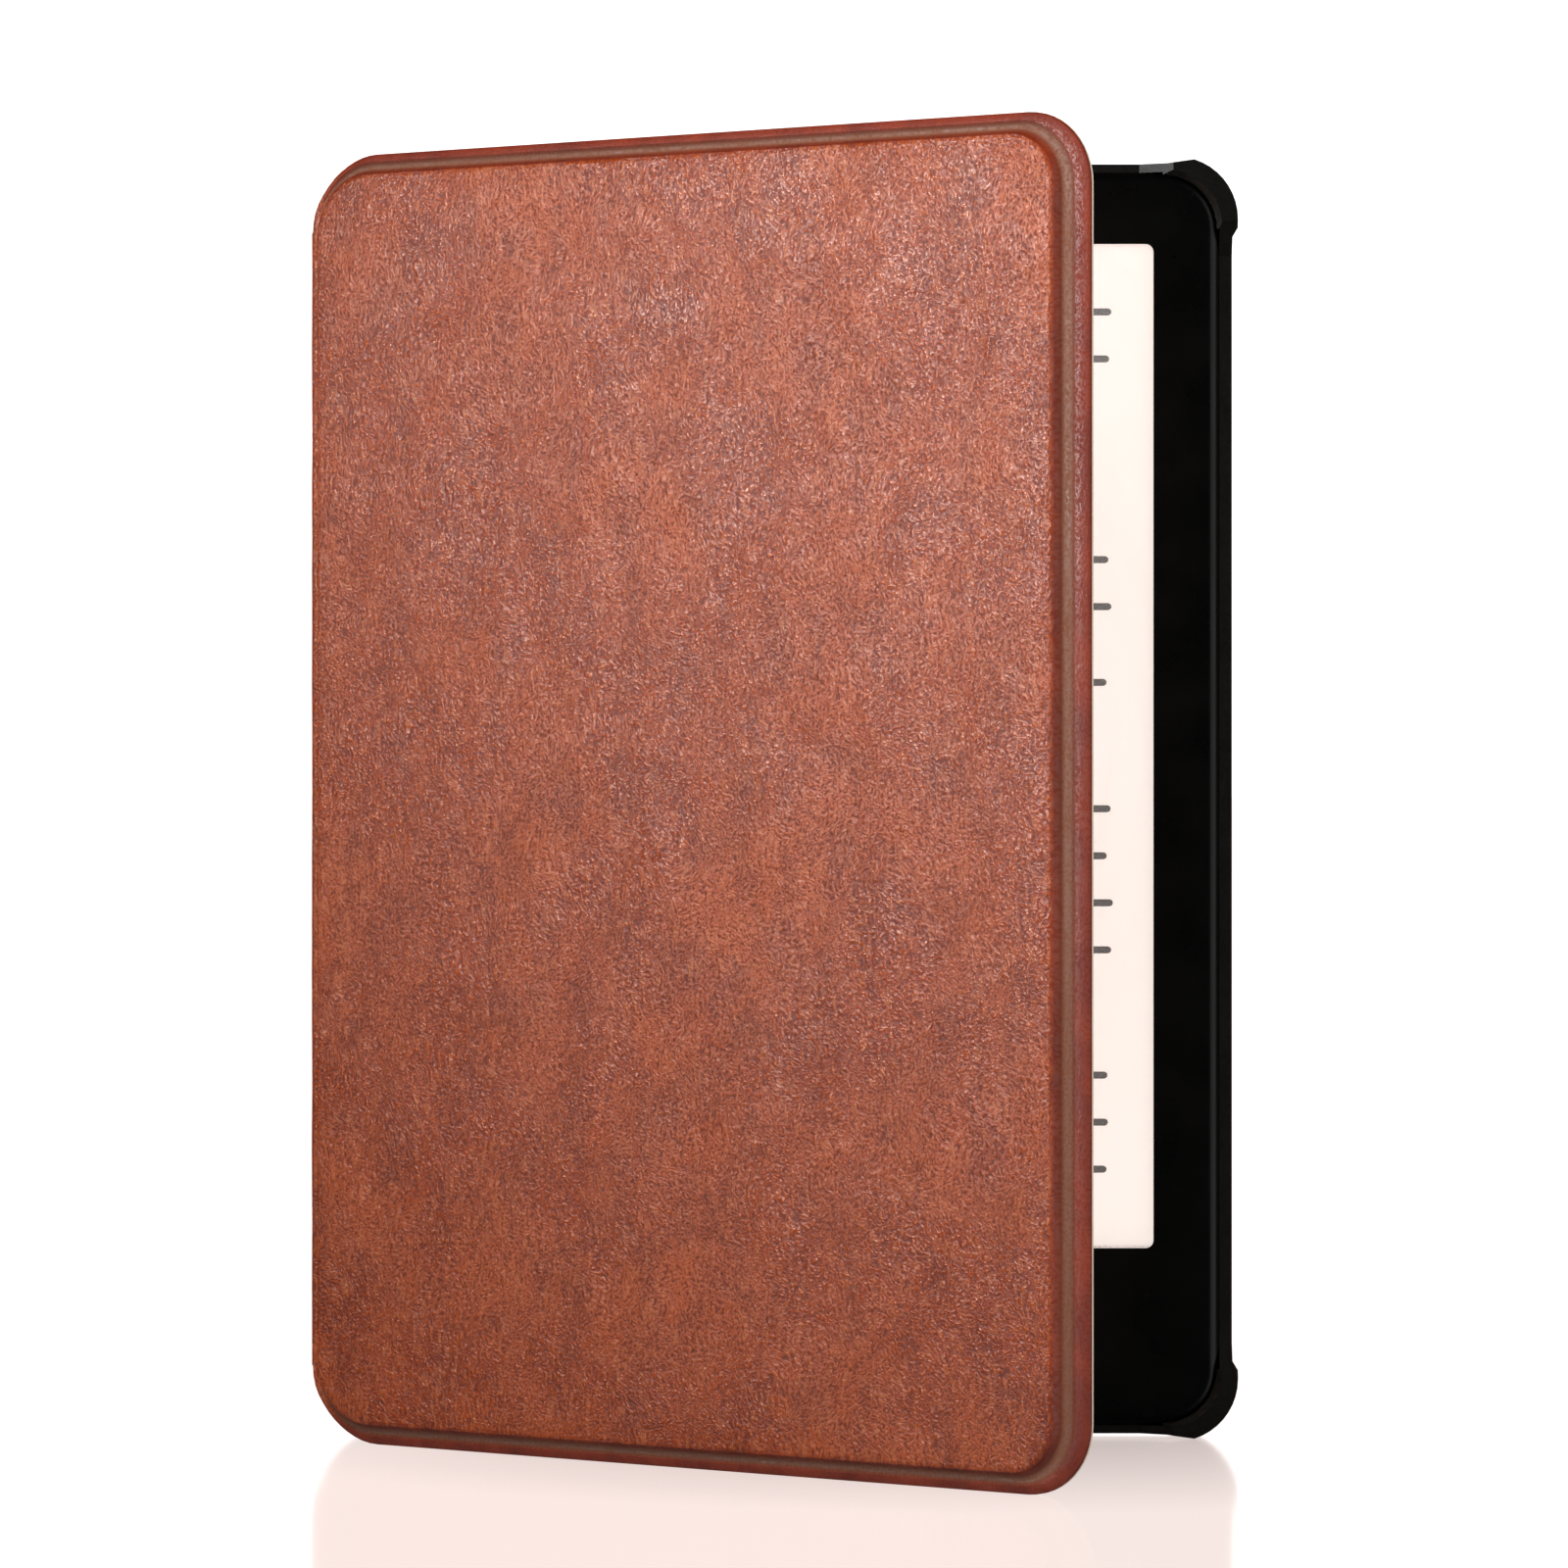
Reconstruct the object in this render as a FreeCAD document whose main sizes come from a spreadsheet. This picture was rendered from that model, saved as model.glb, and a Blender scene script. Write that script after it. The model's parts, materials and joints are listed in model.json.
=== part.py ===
import FreeCAD, Part

import math
import os

import Sketcher

# An e-reader in a folio case. The reader sits in a hard tray whose back is covered in leather, and a
# leather front cover turns on a soft spine along the reader's left long side.
# Millimetres. The case stands on its short edge: +Z up, X across, and the screen faces -Y.
# The origin is the middle of the whole object's footprint, on the surface that it stands on.
#
# Three directions are used below. "across" is X from the tray's middle line. "up" is Z from the middle
# of the height. "depth" is counted from the rear leather's outer face towards the reader's screen.

doc = FreeCAD.newDocument("EReaderFolio")

# ---------------------------------------------------------------- driving dimensions

DIMENSIONS = {
    # folio leather, lining and board
    "leather": 0.9, "lining": 0.5, "board": 1.2,
    "total_height": 177.8, "folio_radius": 9.5,
    "cover_reach": 128.0, "cover_start": 1.3, "open_angle": 36.0,
    "lip_leather": 1.0, "lip_side": 4.2, "lip_end": 2.35,
    "groove_side": 1.9, "groove_end": 1.05, "groove_depth": 0.3,
    "field_radius": 6.5, "field_slope": 0.6, "board_inset": 1.3,
    "spine_height": 155.6, "spine_inset": 1.2, "spine_stop": 2.75,
    "closed_gap": 0.3, "spine_gap": 0.4,
    "rear_inset": 0.9,
    # hard tray
    "tray_back": 1.2, "side_wall": 1.8, "end_wall": 1.2, "nest_gap": 0.1,
    "rim_rise": 6.5, "tray_radius": 8.2, "tray_edge": 1.8,
    "bracket_rise": 1.0, "bracket_radius": 8.7, "bracket_across": 8.0, "bracket_up": 7.8,
    "bracket_back": 1.8, "bracket_step": 1.2, "ramp_start": 0.3, "ramp_length": 4.6,
    "peak_across": 2.63, "lip_hook": 0.3, "lip_depth": 1.15, "lip_slope": 0.8,
    "notch_width": 38.0, "notch_middle": 21.0, "notch_floor": 1.3,
    # reader housing
    "reader_width": 122.4, "reader_height": 174.2, "reader_depth": 8.1, "reader_radius": 7.8,
    "shell": 1.2, "back_edge": 2.6, "front_edge": 1.4, "bezel_depth": 1.6, "bezel_rest": 0.6,
    "gasket_inset": 0.3, "gasket_width": 0.6, "gasket_depth": 0.5,
    # screen stack
    "screen_width": 104.0, "screen_height": 139.5, "top_bezel": 10.0, "screen_gap": 0.1,
    "screen_radius": 1.0, "panel_margin": 2.1, "recess_margin": 2.3, "guide_margin": 1.8,
    "touch_film": 0.2, "guide": 0.5, "paper": 0.9,
    "frame_plate": 0.7, "frame_play": 0.3, "frame_radius": 6.2, "frame_rim": 0.5,
    "rim_inner": 2.4, "rim_outer": 3.2, "flex_width": 22.0, "flex": 0.2, "flex_drop": 3.4,
    "lamp_board": 100.0, "lamp_band": 1.1, "lamp_pitch": 7.0, "lamp": 2.4,
    # port, button and charge light in the bottom edge
    "port_across": 14.0, "light_across": 22.0, "button_across": 30.0, "port_depth": 3.5,
    "port_width": 8.94, "port_tall": 3.16, "port_wall": 0.3, "port_length": 7.4, "port_sunk": 0.3,
    "tongue_width": 6.7, "tongue": 0.7, "tongue_sunk": 1.2,
    "button_width": 8.4, "button_tall": 2.4, "button_proud": 0.2, "button_travel": 0.3,
    "flange_lip": 0.4, "flange": 0.6, "flange_gap": 0.1, "stem": 0.25, "stem_width": 3.0,
    "switch_width": 6.0, "switch_depth": 2.6, "switch_tall": 3.6, "plunger": 0.4,
    "edge_play": 0.2, "light_radius": 0.6, "light_length": 3.4,
    # inner parts
    "pcb": 0.8, "pcb_width": 100.0, "pcb_height": 39.5, "pcb_depth": 3.1, "pcb_up": 3.6,
    "shield_width": 26.0, "shield_height": 22.0, "shield_depth": 1.15, "shield_sheet": 0.2,
    "shield_across": -27.0, "shield_up": 22.0,
    "cell_width": 96.0, "cell_height": 94.0, "cell_depth": 2.9, "cell_edge": 0.8, "cell_gap": 1.6,
    "cable_width": 6.0, "cable": 0.3,
    "boss_radius": 2.2, "screw_radius": 0.75, "screw_length": 3.9,
    "head_radius": 1.5, "head": 0.5,
    "bar_width": 3.0, "bar_height": 14.0, "bar_up": 51.0, "bar_wall": 0.4,
    "cover_bar": 4.0, "cover_bar_at": 117.5, "seat_depth": 0.9, "seat_play": 0.05,
    "sleep_at": 110.0, "sleep_up": -69.0, "sleep_radius": 3.0,
}

sheet = doc.addObject("Spreadsheet::Sheet", "Dims")


class Size:
    """A length with its number and the spreadsheet formula that gives it."""

    def __init__(self, number, formula):
        self.number = number
        self.formula = formula

    def __add__(self, other):
        other = size(other)
        return Size(self.number + other.number, f"({self.formula} + {other.formula})")

    def __sub__(self, other):
        other = size(other)
        return Size(self.number - other.number, f"({self.formula} - {other.formula})")

    def __mul__(self, factor):
        return Size(self.number * factor, f"({self.formula} * {factor})")

    def __truediv__(self, factor):
        return Size(self.number / factor, f"({self.formula} / {factor})")

    def __neg__(self):
        return Size(-self.number, f"(0 - {self.formula})")

    def __rsub__(self, other):
        return size(other) - self

    __radd__ = __add__


def size(value):
    """A Size from a Size or a plain number."""
    return value if isinstance(value, Size) else Size(float(value), f"{float(value)}")


def dim(name):
    """The driving dimension of that name."""
    return Size(DIMENSIONS[name], f"Dims.{name}")


def fill_sheet():
    """Puts each driving dimension in a cell of its own, with its name as the alias."""
    for row, (name, value) in enumerate(DIMENSIONS.items(), start=1):
        sheet.set(f"A{row}", name)
        sheet.set(f"B{row}", str(value))
        sheet.setAlias(f"B{row}", name)
    doc.recompute()


# ---------------------------------------------------------------- places worked out from them

tray_width = dim("reader_width") + dim("nest_gap") * 2 + dim("side_wall") * 2
tray_height = dim("reader_height") + dim("nest_gap") * 2 + dim("end_wall") * 2
tray_at = dim("leather")
reader_at = tray_at + dim("tray_back")
reader_front = reader_at + dim("reader_depth")
rim_at = reader_at + dim("rim_rise")
bracket_top = reader_front + dim("bracket_rise")
fold_depth = bracket_top + dim("closed_gap") + dim("lining") + dim("board") + dim("leather") / 2
fold_across = -(tray_width / 2 + dim("spine_gap") + dim("lining") + dim("leather") / 2)
bezel_at = reader_front - dim("bezel_depth")
screen_up = dim("reader_height") / 2 - dim("top_bezel") - dim("screen_height") / 2
screen_foot = screen_up - dim("screen_height") / 2
panel_foot = screen_foot - dim("panel_margin")
reader_bottom = -(dim("reader_height") / 2)


def set_origin():
    """Adds the two cells that put the origin in the middle of the resting footprint."""
    turn = math.radians(DIMENSIONS["open_angle"])
    half_leather = DIMENSIONS["leather"] / 2
    left = fold_across.number - half_leather
    right = tray_width.number / 2 + DIMENSIONS["bracket_radius"] - DIMENSIONS["bracket_across"]
    lip = DIMENSIONS["lip_leather"] - DIMENSIONS["board"] - half_leather
    front = fold_depth.number + DIMENSIONS["cover_reach"] * math.sin(turn) + lip * math.cos(turn)
    DIMENSIONS["origin_across"] = round(-(left + right) / 2, 4)
    DIMENSIONS["origin_depth"] = round(front / 2, 4)
    DIMENSIONS["middle_height"] = DIMENSIONS["total_height"] / 2


set_origin()
fill_sheet()

# ---------------------------------------------------------------- helpers


def bind(thing, prop, value):
    """Binds a property of thing to a Size."""
    thing.setExpression(prop, size(value).formula)


def put(thing, across=0, depth=0, up=0):
    """Places thing by its own origin, in the tray's directions."""
    bind(thing, "Placement.Base.x", dim("origin_across") + across)
    bind(thing, "Placement.Base.y", dim("origin_depth") - depth)
    bind(thing, "Placement.Base.z", dim("middle_height") + up)
    return thing


def new_body(label):
    """A body whose own origin is the tray's middle, at depth 0."""
    body = doc.addObject("PartDesign::Body", label)
    body.Label = label
    return put(body)


def cover_body(label):
    """A body of the front cover: its X runs from the fold to the free edge, turned open by open_angle."""
    body = doc.addObject("PartDesign::Body", label)
    body.Label = label
    body.Placement = FreeCAD.Placement(
        FreeCAD.Vector(), FreeCAD.Rotation(FreeCAD.Vector(0, 0, 1), -DIMENSIONS["open_angle"])
    )
    put(body, fold_across, fold_depth)
    bind(body, "Placement.Rotation.Angle", -dim("open_angle"))
    return body


def new_sketch(body, name, plane="XZ_Plane", offset=0):
    """A sketch on one of the body's planes. XZ is seen from the screen's side, XY from above."""
    sketch = body.newObject("Sketcher::SketchObject", name)
    face = [f for f in body.Origin.OriginFeatures if f.Role == plane][0]
    sketch.AttachmentSupport = [(face, "")]
    sketch.MapMode = "FlatFace"
    bind(sketch, "AttachmentOffset.Base.z", offset)
    return sketch


def fix(sketch, geometry, point, x, y):
    """Holds a point of a sketch at bound distances from the sketch's origin."""
    for kind, value, axis in (("DistanceX", size(x), -2), ("DistanceY", size(y), -1)):
        if abs(value.number) < 1e-6:
            sketch.addConstraint(Sketcher.Constraint("PointOnObject", geometry, point, axis))
            continue
        ends = (-1, 1, geometry, point) if value.number > 0 else (geometry, point, -1, 1)
        held = value if value.number > 0 else -value
        index = sketch.addConstraint(Sketcher.Constraint(kind, *ends, held.number))
        bind(sketch, f"Constraints[{index}]", held)


def corner_arc(sketch, x, y, radius, start, end):
    """Adds one arc to a sketch, from and to angles in degrees."""
    circle = Part.Circle(FreeCAD.Vector(x, y, 0), FreeCAD.Vector(0, 0, 1), radius)
    return sketch.addGeometry(Part.ArcOfCircle(circle, math.radians(start), math.radians(end)))


def rounded(sketch, wide, tall, radius, x=0, y=0):
    """Adds a rounded rectangle centred on x, y to a sketch."""
    wide, tall, radius, x, y = (size(v) for v in (wide, tall, radius, x, y))
    left, right = x - wide / 2 + radius, x + wide / 2 - radius
    low, high = y - tall / 2 + radius, y + tall / 2 - radius
    centres = ((right, high, 0), (left, high, 90), (left, low, 180), (right, low, 270))
    arcs = []
    for cx, cy, start in centres:
        arcs.append(corner_arc(sketch, cx.number, cy.number, radius.number, start, start + 90))
    sides = []
    for this, following in zip(arcs, arcs[1:] + arcs[:1]):
        line = Part.LineSegment(sketch.getPoint(this, 2), sketch.getPoint(following, 1))
        sides.append(sketch.addGeometry(line))
    for this, following, side in zip(arcs, arcs[1:] + arcs[:1], sides):
        sketch.addConstraint(Sketcher.Constraint("Tangent", this, 2, side, 1))
        sketch.addConstraint(Sketcher.Constraint("Tangent", side, 2, following, 1))
    for arc, (cx, cy, _) in zip(arcs, centres):
        fix(sketch, arc, 3, cx, cy)
        index = sketch.addConstraint(Sketcher.Constraint("Radius", arc, radius.number))
        bind(sketch, f"Constraints[{index}]", radius)


def angle_of(point, centre):
    """The direction of a point from a centre, in degrees."""
    return math.degrees(math.atan2(point.y - centre.y, point.x - centre.x))


def polygon(sketch, corners):
    """Adds a closed outline. A corner is (x, y), or (x, y, radius, centre) where the shorter arc about
    centre leads to the next corner."""
    points = [FreeCAD.Vector(size(c[0]).number, size(c[1]).number, 0) for c in corners]
    edges = []
    for i, corner in enumerate(corners):
        start, end = points[i], points[(i + 1) % len(points)]
        if len(corner) == 2:
            edges.append((sketch.addGeometry(Part.LineSegment(start, end)), 1, 2))
            continue
        radius = size(corner[2])
        centre = FreeCAD.Vector(size(corner[3][0]).number, size(corner[3][1]).number, 0)
        first, last = angle_of(start, centre), angle_of(end, centre)
        leftward = (last - first) % 360 < 180
        if not leftward:
            first, last = last, first
        arc = corner_arc(sketch, centre.x, centre.y, radius.number, first, last)
        edges.append((arc, 1, 2) if leftward else (arc, 2, 1))
        index = sketch.addConstraint(Sketcher.Constraint("Radius", arc, radius.number))
        bind(sketch, f"Constraints[{index}]", radius)
    for i, corner in enumerate(corners):
        edge, start, _ = edges[i]
        before, _, end = edges[i - 1]
        sketch.addConstraint(Sketcher.Constraint("Coincident", before, end, edge, start))
        fix(sketch, edge, start, corner[0], corner[1])


def circle(sketch, x, y, radius):
    """Adds a circle to a sketch."""
    shape = Part.Circle(FreeCAD.Vector(size(x).number, size(y).number, 0), FreeCAD.Vector(0, 0, 1),
                        size(radius).number)
    index = sketch.addGeometry(shape)
    fix(sketch, index, 3, x, y)
    held = sketch.addConstraint(Sketcher.Constraint("Radius", index, size(radius).number))
    bind(sketch, f"Constraints[{held}]", radius)


def pad(body, sketch, length):
    """Pads a sketch along its plane's direction."""
    feature = body.newObject("PartDesign::Pad", sketch.Name + "Pad")
    feature.Profile = sketch
    bind(feature, "Length", length)
    sketch.Visibility = False
    doc.recompute()
    return feature


def pocket(body, sketch, length, forward=False):
    """Cuts a sketch into the body, backwards from its plane or forwards, and makes sure that it cuts."""
    before = body.Tip.Shape.Volume
    feature = body.newObject("PartDesign::Pocket", sketch.Name + "Pocket")
    feature.Profile = sketch
    feature.Reversed = forward
    bind(feature, "Length", length)
    doc.recompute()
    if not feature.Shape.Volume < before - 1e-6:
        raise RuntimeError(f"{feature.Name} cuts nothing")
    return feature


def edges_on(shape, place, axis="y", longer_than=0.0, shorter_than=1e9, keep=None):
    """Names of the edges that lie in the plane where axis has the value place."""
    low, high = {"x": ("XMin", "XMax"), "y": ("YMin", "YMax"), "z": ("ZMin", "ZMax")}[axis]
    names = []
    for number, edge in enumerate(shape.Edges, start=1):
        box = edge.BoundBox
        flat = abs(getattr(box, low) - place) < 1e-3 and abs(getattr(box, high) - place) < 1e-3
        if flat and longer_than < edge.Length < shorter_than and (keep is None or keep(box)):
            names.append(f"Edge{number}")
    return names


def dress(body, kind, names, amount):
    """Adds a Fillet or Chamfer to the body's last feature."""
    if not names:
        raise RuntimeError(f"{body.Label} has no edge for its {kind}")
    feature = body.newObject(f"PartDesign::{kind}", f"{body.Name}{kind}{len(body.Group)}")
    feature.Base = (body.Group[-2], names)
    bind(feature, "Radius" if kind == "Fillet" else "Size", amount)
    doc.recompute()
    return feature


def mirror_whole(body, plane):
    """Adds the mirror image of the whole body so far."""
    feature = body.newObject("PartDesign::Mirrored", f"{body.Name}Mirrored{plane[:2]}")
    feature.TransformMode = "Whole shape"
    feature.MirrorPlane = ([f for f in body.Origin.OriginFeatures if f.Role == plane][0], [""])
    body.Tip = feature
    doc.recompute()
    return feature


def plate(label, wide, tall, radius, at, thick, across=0, up=0, make=new_body):
    """A flat rounded plate, the usual shape of a layer in the reader or the cover."""
    body = make(label)
    sketch = new_sketch(body, label + "_outline", offset=at)
    rounded(sketch, wide, tall, radius, across, up)
    pad(body, sketch, thick)
    return body


def block(label, left, right, back, front, low, high):
    """A plain box between two values of across, depth and up."""
    box = doc.addObject("Part::Box", label)
    box.Label = label
    bind(box, "Length", size(right) - left)
    bind(box, "Width", size(front) - back)
    bind(box, "Height", size(high) - low)
    return put(box, left, front, low)


def cylinder(label, across, depth, up, radius, length, along_depth=True):
    """A round rod that starts at a point and runs towards the screen, or upwards."""
    rod = doc.addObject("Part::Cylinder", label)
    rod.Label = label
    bind(rod, "Radius", radius)
    bind(rod, "Height", length)
    if along_depth:
        rod.Placement = FreeCAD.Placement(
            FreeCAD.Vector(), FreeCAD.Rotation(FreeCAD.Vector(1, 0, 0), 90)
        )
    return put(rod, across, depth, up)


def joined(kind, label, members):
    """One object of several: MultiFuse makes one solid, Compound keeps separate solids."""
    whole = doc.addObject(f"Part::{kind}", label)
    whole.Label = label
    if kind == "MultiFuse":
        whole.Shapes = members
        whole.Refine = True
    else:
        whole.Links = members
    return whole


# ---------------------------------------------------------------- reader: housing and front


BOSSES = [(56.6, 82.6), (57.2, 28.0)]


def boss_places():
    """The eight screw bosses, as (across, up)."""
    return [(sx * x, sz * z) for x, z in BOSSES for sx in (-1, 1) for sz in (-1, 1)]


boss_back = reader_at + dim("shell")
stack_front = reader_front - dim("bezel_rest")
touch_at = stack_front - dim("touch_film")
guide_at = touch_at - dim("guide")
paper_at = guide_at - dim("paper")
frame_at = paper_at - dim("frame_plate")
edge_depth = reader_at + dim("port_depth")
ROUND_END = 0.45  # corner radius of the port and the button, as a share of how tall they are


def gasket_ring(body, name, offset):
    """A sketch of the gasket's ring, which is also the ring of its groove."""
    ring = new_sketch(body, name, offset=offset)
    for inset in (dim("gasket_inset"), dim("gasket_inset") + dim("gasket_width")):
        rounded(ring, dim("reader_width") - inset * 2, dim("reader_height") - inset * 2,
                dim("reader_radius") - inset)
    return ring


def bottom_opening(body, name, across, wide, tall):
    """Cuts an opening with play all round through the reader's bottom edge."""
    sketch = new_sketch(body, name, "XY_Plane", reader_bottom - 1)
    wide, tall = wide + dim("edge_play") * 2, tall + dim("edge_play") * 2
    rounded(sketch, wide, tall, tall * ROUND_END, across, -edge_depth)
    pocket(body, sketch, dim("shell") + 2, forward=True)


def rear_housing():
    """The reader's back shell: a tub with rounded back edges, screw bosses and three openings."""
    body = plate("rear_housing", dim("reader_width"), dim("reader_height"), dim("reader_radius"),
                 reader_at, bezel_at - reader_at)
    dress(body, "Fillet", edges_on(body.Tip.Shape, -reader_at.number), dim("back_edge"))
    inner_width = dim("reader_width") - dim("shell") * 2
    inner_height = dim("reader_height") - dim("shell") * 2
    hollow = new_sketch(body, "housing_hollow", offset=bezel_at)
    rounded(hollow, inner_width, inner_height, dim("reader_radius") - dim("shell"))
    pocket(body, hollow, bezel_at - boss_back)
    pocket(body, gasket_ring(body, "gasket_groove", bezel_at), dim("gasket_depth"))
    bosses = new_sketch(body, "bosses", offset=boss_back)
    for x, z in boss_places():
        circle(bosses, x, z, dim("boss_radius"))
    pad(body, bosses, frame_at - boss_back)
    pilots = new_sketch(body, "pilots", offset=frame_at)
    for x, z in boss_places():
        circle(pilots, x, z, dim("screw_radius") + 0.05)
    pocket(body, pilots, dim("screw_length") - dim("frame_plate") + 0.3)
    bottom_opening(body, "port_opening", dim("port_across"), dim("port_width"), dim("port_tall"))
    bottom_opening(body, "button_opening", dim("button_across"), dim("button_width"),
                   dim("button_tall"))
    light = new_sketch(body, "light_hole", "XY_Plane", reader_bottom - 1)
    circle(light, dim("light_across"), -edge_depth, dim("light_radius") + 0.05)
    pocket(body, light, dim("shell") + 2, forward=True)
    return body


def front_bezel():
    """The reader's black front frame, rounded along its outer edge, with the screen's window."""
    body = plate("front_bezel", dim("reader_width"), dim("reader_height"), dim("reader_radius"),
                 bezel_at, dim("bezel_depth"))
    front = -reader_front.number
    dress(body, "Fillet", edges_on(body.Tip.Shape, front), dim("front_edge"))
    window = new_sketch(body, "bezel_window", offset=reader_front)
    rounded(window, dim("screen_width") + dim("screen_gap") * 2,
            dim("screen_height") + dim("screen_gap") * 2,
            dim("screen_radius") + dim("screen_gap"), 0, screen_up)
    pocket(body, window, dim("bezel_depth") + 1)
    recess = new_sketch(body, "bezel_recess", offset=bezel_at)
    rounded(recess, dim("screen_width") + dim("recess_margin") * 2,
            dim("screen_height") + dim("recess_margin") * 2, dim("screen_radius"), 0, screen_up)
    pocket(body, recess, dim("bezel_depth") - dim("bezel_rest"), forward=True)
    return body


def gasket():
    """The waterproofing ring between the back shell and the front frame."""
    body = new_body("bezel_gasket")
    pad(body, gasket_ring(body, "gasket_ring", bezel_at - dim("gasket_depth")), dim("gasket_depth"))
    return body


def screen_layer(label, at, thick, margin, drop=0):
    """One layer of the screen. margin is how far it runs past the visible screen on every side, and
    drop shortens it at the bottom."""
    return plate(label, dim("screen_width") + dim(margin) * 2,
                 dim("screen_height") + dim(margin) * 2 - drop, dim("screen_radius") * 0.8, at, thick,
                 0, screen_up + size(drop) / 2)


def mid_frame():
    """The metal plate that carries the screen in front and the electronics behind."""
    inset = (dim("shell") + dim("frame_play")) * 2
    body = plate("mid_frame", dim("reader_width") - inset, dim("reader_height") - inset,
                 dim("frame_radius"), frame_at, dim("frame_plate"))
    rim = new_sketch(body, "frame_rim", offset=paper_at)
    for margin in (dim("rim_inner"), dim("rim_outer")):
        rounded(rim, dim("screen_width") + margin * 2, dim("screen_height") + margin * 2, margin / 2,
                0, screen_up)
    pad(body, rim, dim("frame_rim"))
    holes = new_sketch(body, "frame_holes", offset=paper_at)
    for x, z in boss_places():
        circle(holes, x, z, dim("screw_radius") + 0.15)
    pocket(body, holes, dim("frame_plate") + 1)
    slot = new_sketch(body, "flex_slot", offset=paper_at + 1)
    slot_tall = dim("flex_drop") * 2
    rounded(slot, dim("flex_width") + 6, slot_tall, 1, 0,
            panel_foot - 0.1 - slot_tall / 2)
    pocket(body, slot, dim("frame_plate") + 2)
    return body


def frame_screws():
    """Eight small screws that hold the frame to the back shell's bosses."""
    screws = []
    for number, (x, z) in enumerate(boss_places(), start=1):
        shank = cylinder(f"shank_{number}", x, paper_at - dim("screw_length"), z, dim("screw_radius"),
                         dim("screw_length"))
        head = cylinder(f"head_{number}", x, paper_at, z, dim("head_radius"), dim("head"))
        screws.append(joined("MultiFuse", f"screw_{number}", [shank, head]))
    return joined("Compound", "frame_screws", screws)


# ---------------------------------------------------------------- reader: port, button and light


def usb_c_socket():
    """The charging socket: a flattened metal tube with a tongue inside, open downwards."""
    body = new_body("usb_c_socket")
    start = reader_bottom + dim("port_sunk")
    outer = new_sketch(body, "socket_outer", "XY_Plane", start)
    rounded(outer, dim("port_width"), dim("port_tall"), dim("port_tall") * ROUND_END,
            dim("port_across"), -edge_depth)
    pad(body, outer, dim("port_length"))
    mouth = new_sketch(body, "socket_mouth", "XY_Plane", start)
    inner_tall = dim("port_tall") - dim("port_wall") * 2
    rounded(mouth, dim("port_width") - dim("port_wall") * 2, inner_tall, inner_tall * ROUND_END,
            dim("port_across"), -edge_depth)
    back_wall = 1.0
    pocket(body, mouth, dim("port_length") - back_wall, forward=True)
    tongue = new_sketch(body, "socket_tongue", "XY_Plane", start + dim("tongue_sunk"))
    rounded(tongue, dim("tongue_width"), dim("tongue"), 0.2, dim("port_across"), -edge_depth)
    pad(body, tongue, dim("port_length") - dim("tongue_sunk") - back_wall / 2)
    return body


def power_button():
    """The power button: a rounded cap, a flange that keeps it in the housing, and a stem."""
    body = new_body("power_button")
    cap_at = reader_bottom - dim("button_proud")
    flange_at = reader_bottom + dim("shell") + dim("flange_gap")
    cap = new_sketch(body, "button_cap", "XY_Plane", cap_at)
    rounded(cap, dim("button_width"), dim("button_tall"), dim("button_tall") * ROUND_END,
            dim("button_across"), -edge_depth)
    pad(body, cap, flange_at - cap_at + dim("flange") / 2)
    flange = new_sketch(body, "button_flange", "XY_Plane", flange_at)
    flange_tall = dim("button_tall") + dim("flange_lip") * 2
    rounded(flange, dim("button_width") + dim("flange_lip") * 2, flange_tall, flange_tall * ROUND_END,
            dim("button_across"), -edge_depth)
    pad(body, flange, dim("flange"))
    stem = new_sketch(body, "button_stem", "XY_Plane", flange_at + dim("flange") / 2)
    rounded(stem, dim("stem_width"), dim("stem_width") / 2, 0.5, dim("button_across"), -edge_depth)
    pad(body, stem, dim("flange") / 2 + dim("stem"))
    dress(body, "Fillet", edges_on(body.Tip.Shape, cap_at.number, "z"), dim("button_proud"))
    return body


def button_switch():
    """The small switch that the button's stem presses."""
    across = dim("button_across")
    plunger_low = (reader_bottom + dim("shell") + dim("flange_gap") + dim("flange") + dim("stem")
                   + dim("button_travel") + 0.05)
    base_low = plunger_low + dim("plunger")
    half_wide, half_deep = dim("switch_width") / 2, dim("switch_depth") / 2
    base = block("switch_base", across - half_wide, across + half_wide, edge_depth - half_deep,
                 edge_depth + half_deep, base_low, base_low + dim("switch_tall"))
    plunger = block("switch_plunger", across - half_wide / 3, across + half_wide / 3,
                    edge_depth - half_deep / 2, edge_depth + half_deep / 2, plunger_low, base_low)
    return joined("MultiFuse", "button_switch", [base, plunger])


# ---------------------------------------------------------------- reader: electronics

pcb_at = reader_at + dim("pcb_depth")
pcb_front = pcb_at + dim("pcb")
pcb_low = reader_bottom + dim("pcb_up")
pcb_high = pcb_low + dim("pcb_height")
cell_at = boss_back + 0.1
cell_front = cell_at + dim("cell_depth")
cell_low = pcb_high + dim("cell_gap")

# What sits on the board's front: across and height above the reader's bottom edge of its middle, then
# its width, height and thickness.
BOARD_PARTS = {
    "processor_chip": (-32.0, 22.0, 12.0, 12.0, 0.8),
    "memory_chip": (-20.25, 22.0, 8.5, 12.0, 0.7),
    "power_chip": (2.5, 22.5, 5.0, 5.0, 0.7),
    "wireless_module": (41.0, 34.0, 14.0, 12.0, 1.0),
    "hall_sensor": (45.5, 17.8, 3.0, 1.6, 0.8),
    "charge_led": (22.0, 4.2, 1.6, 0.8, 0.8),
    "battery_connector": (0.0, 40.9, 8.0, 4.0, 1.1),
}


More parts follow.
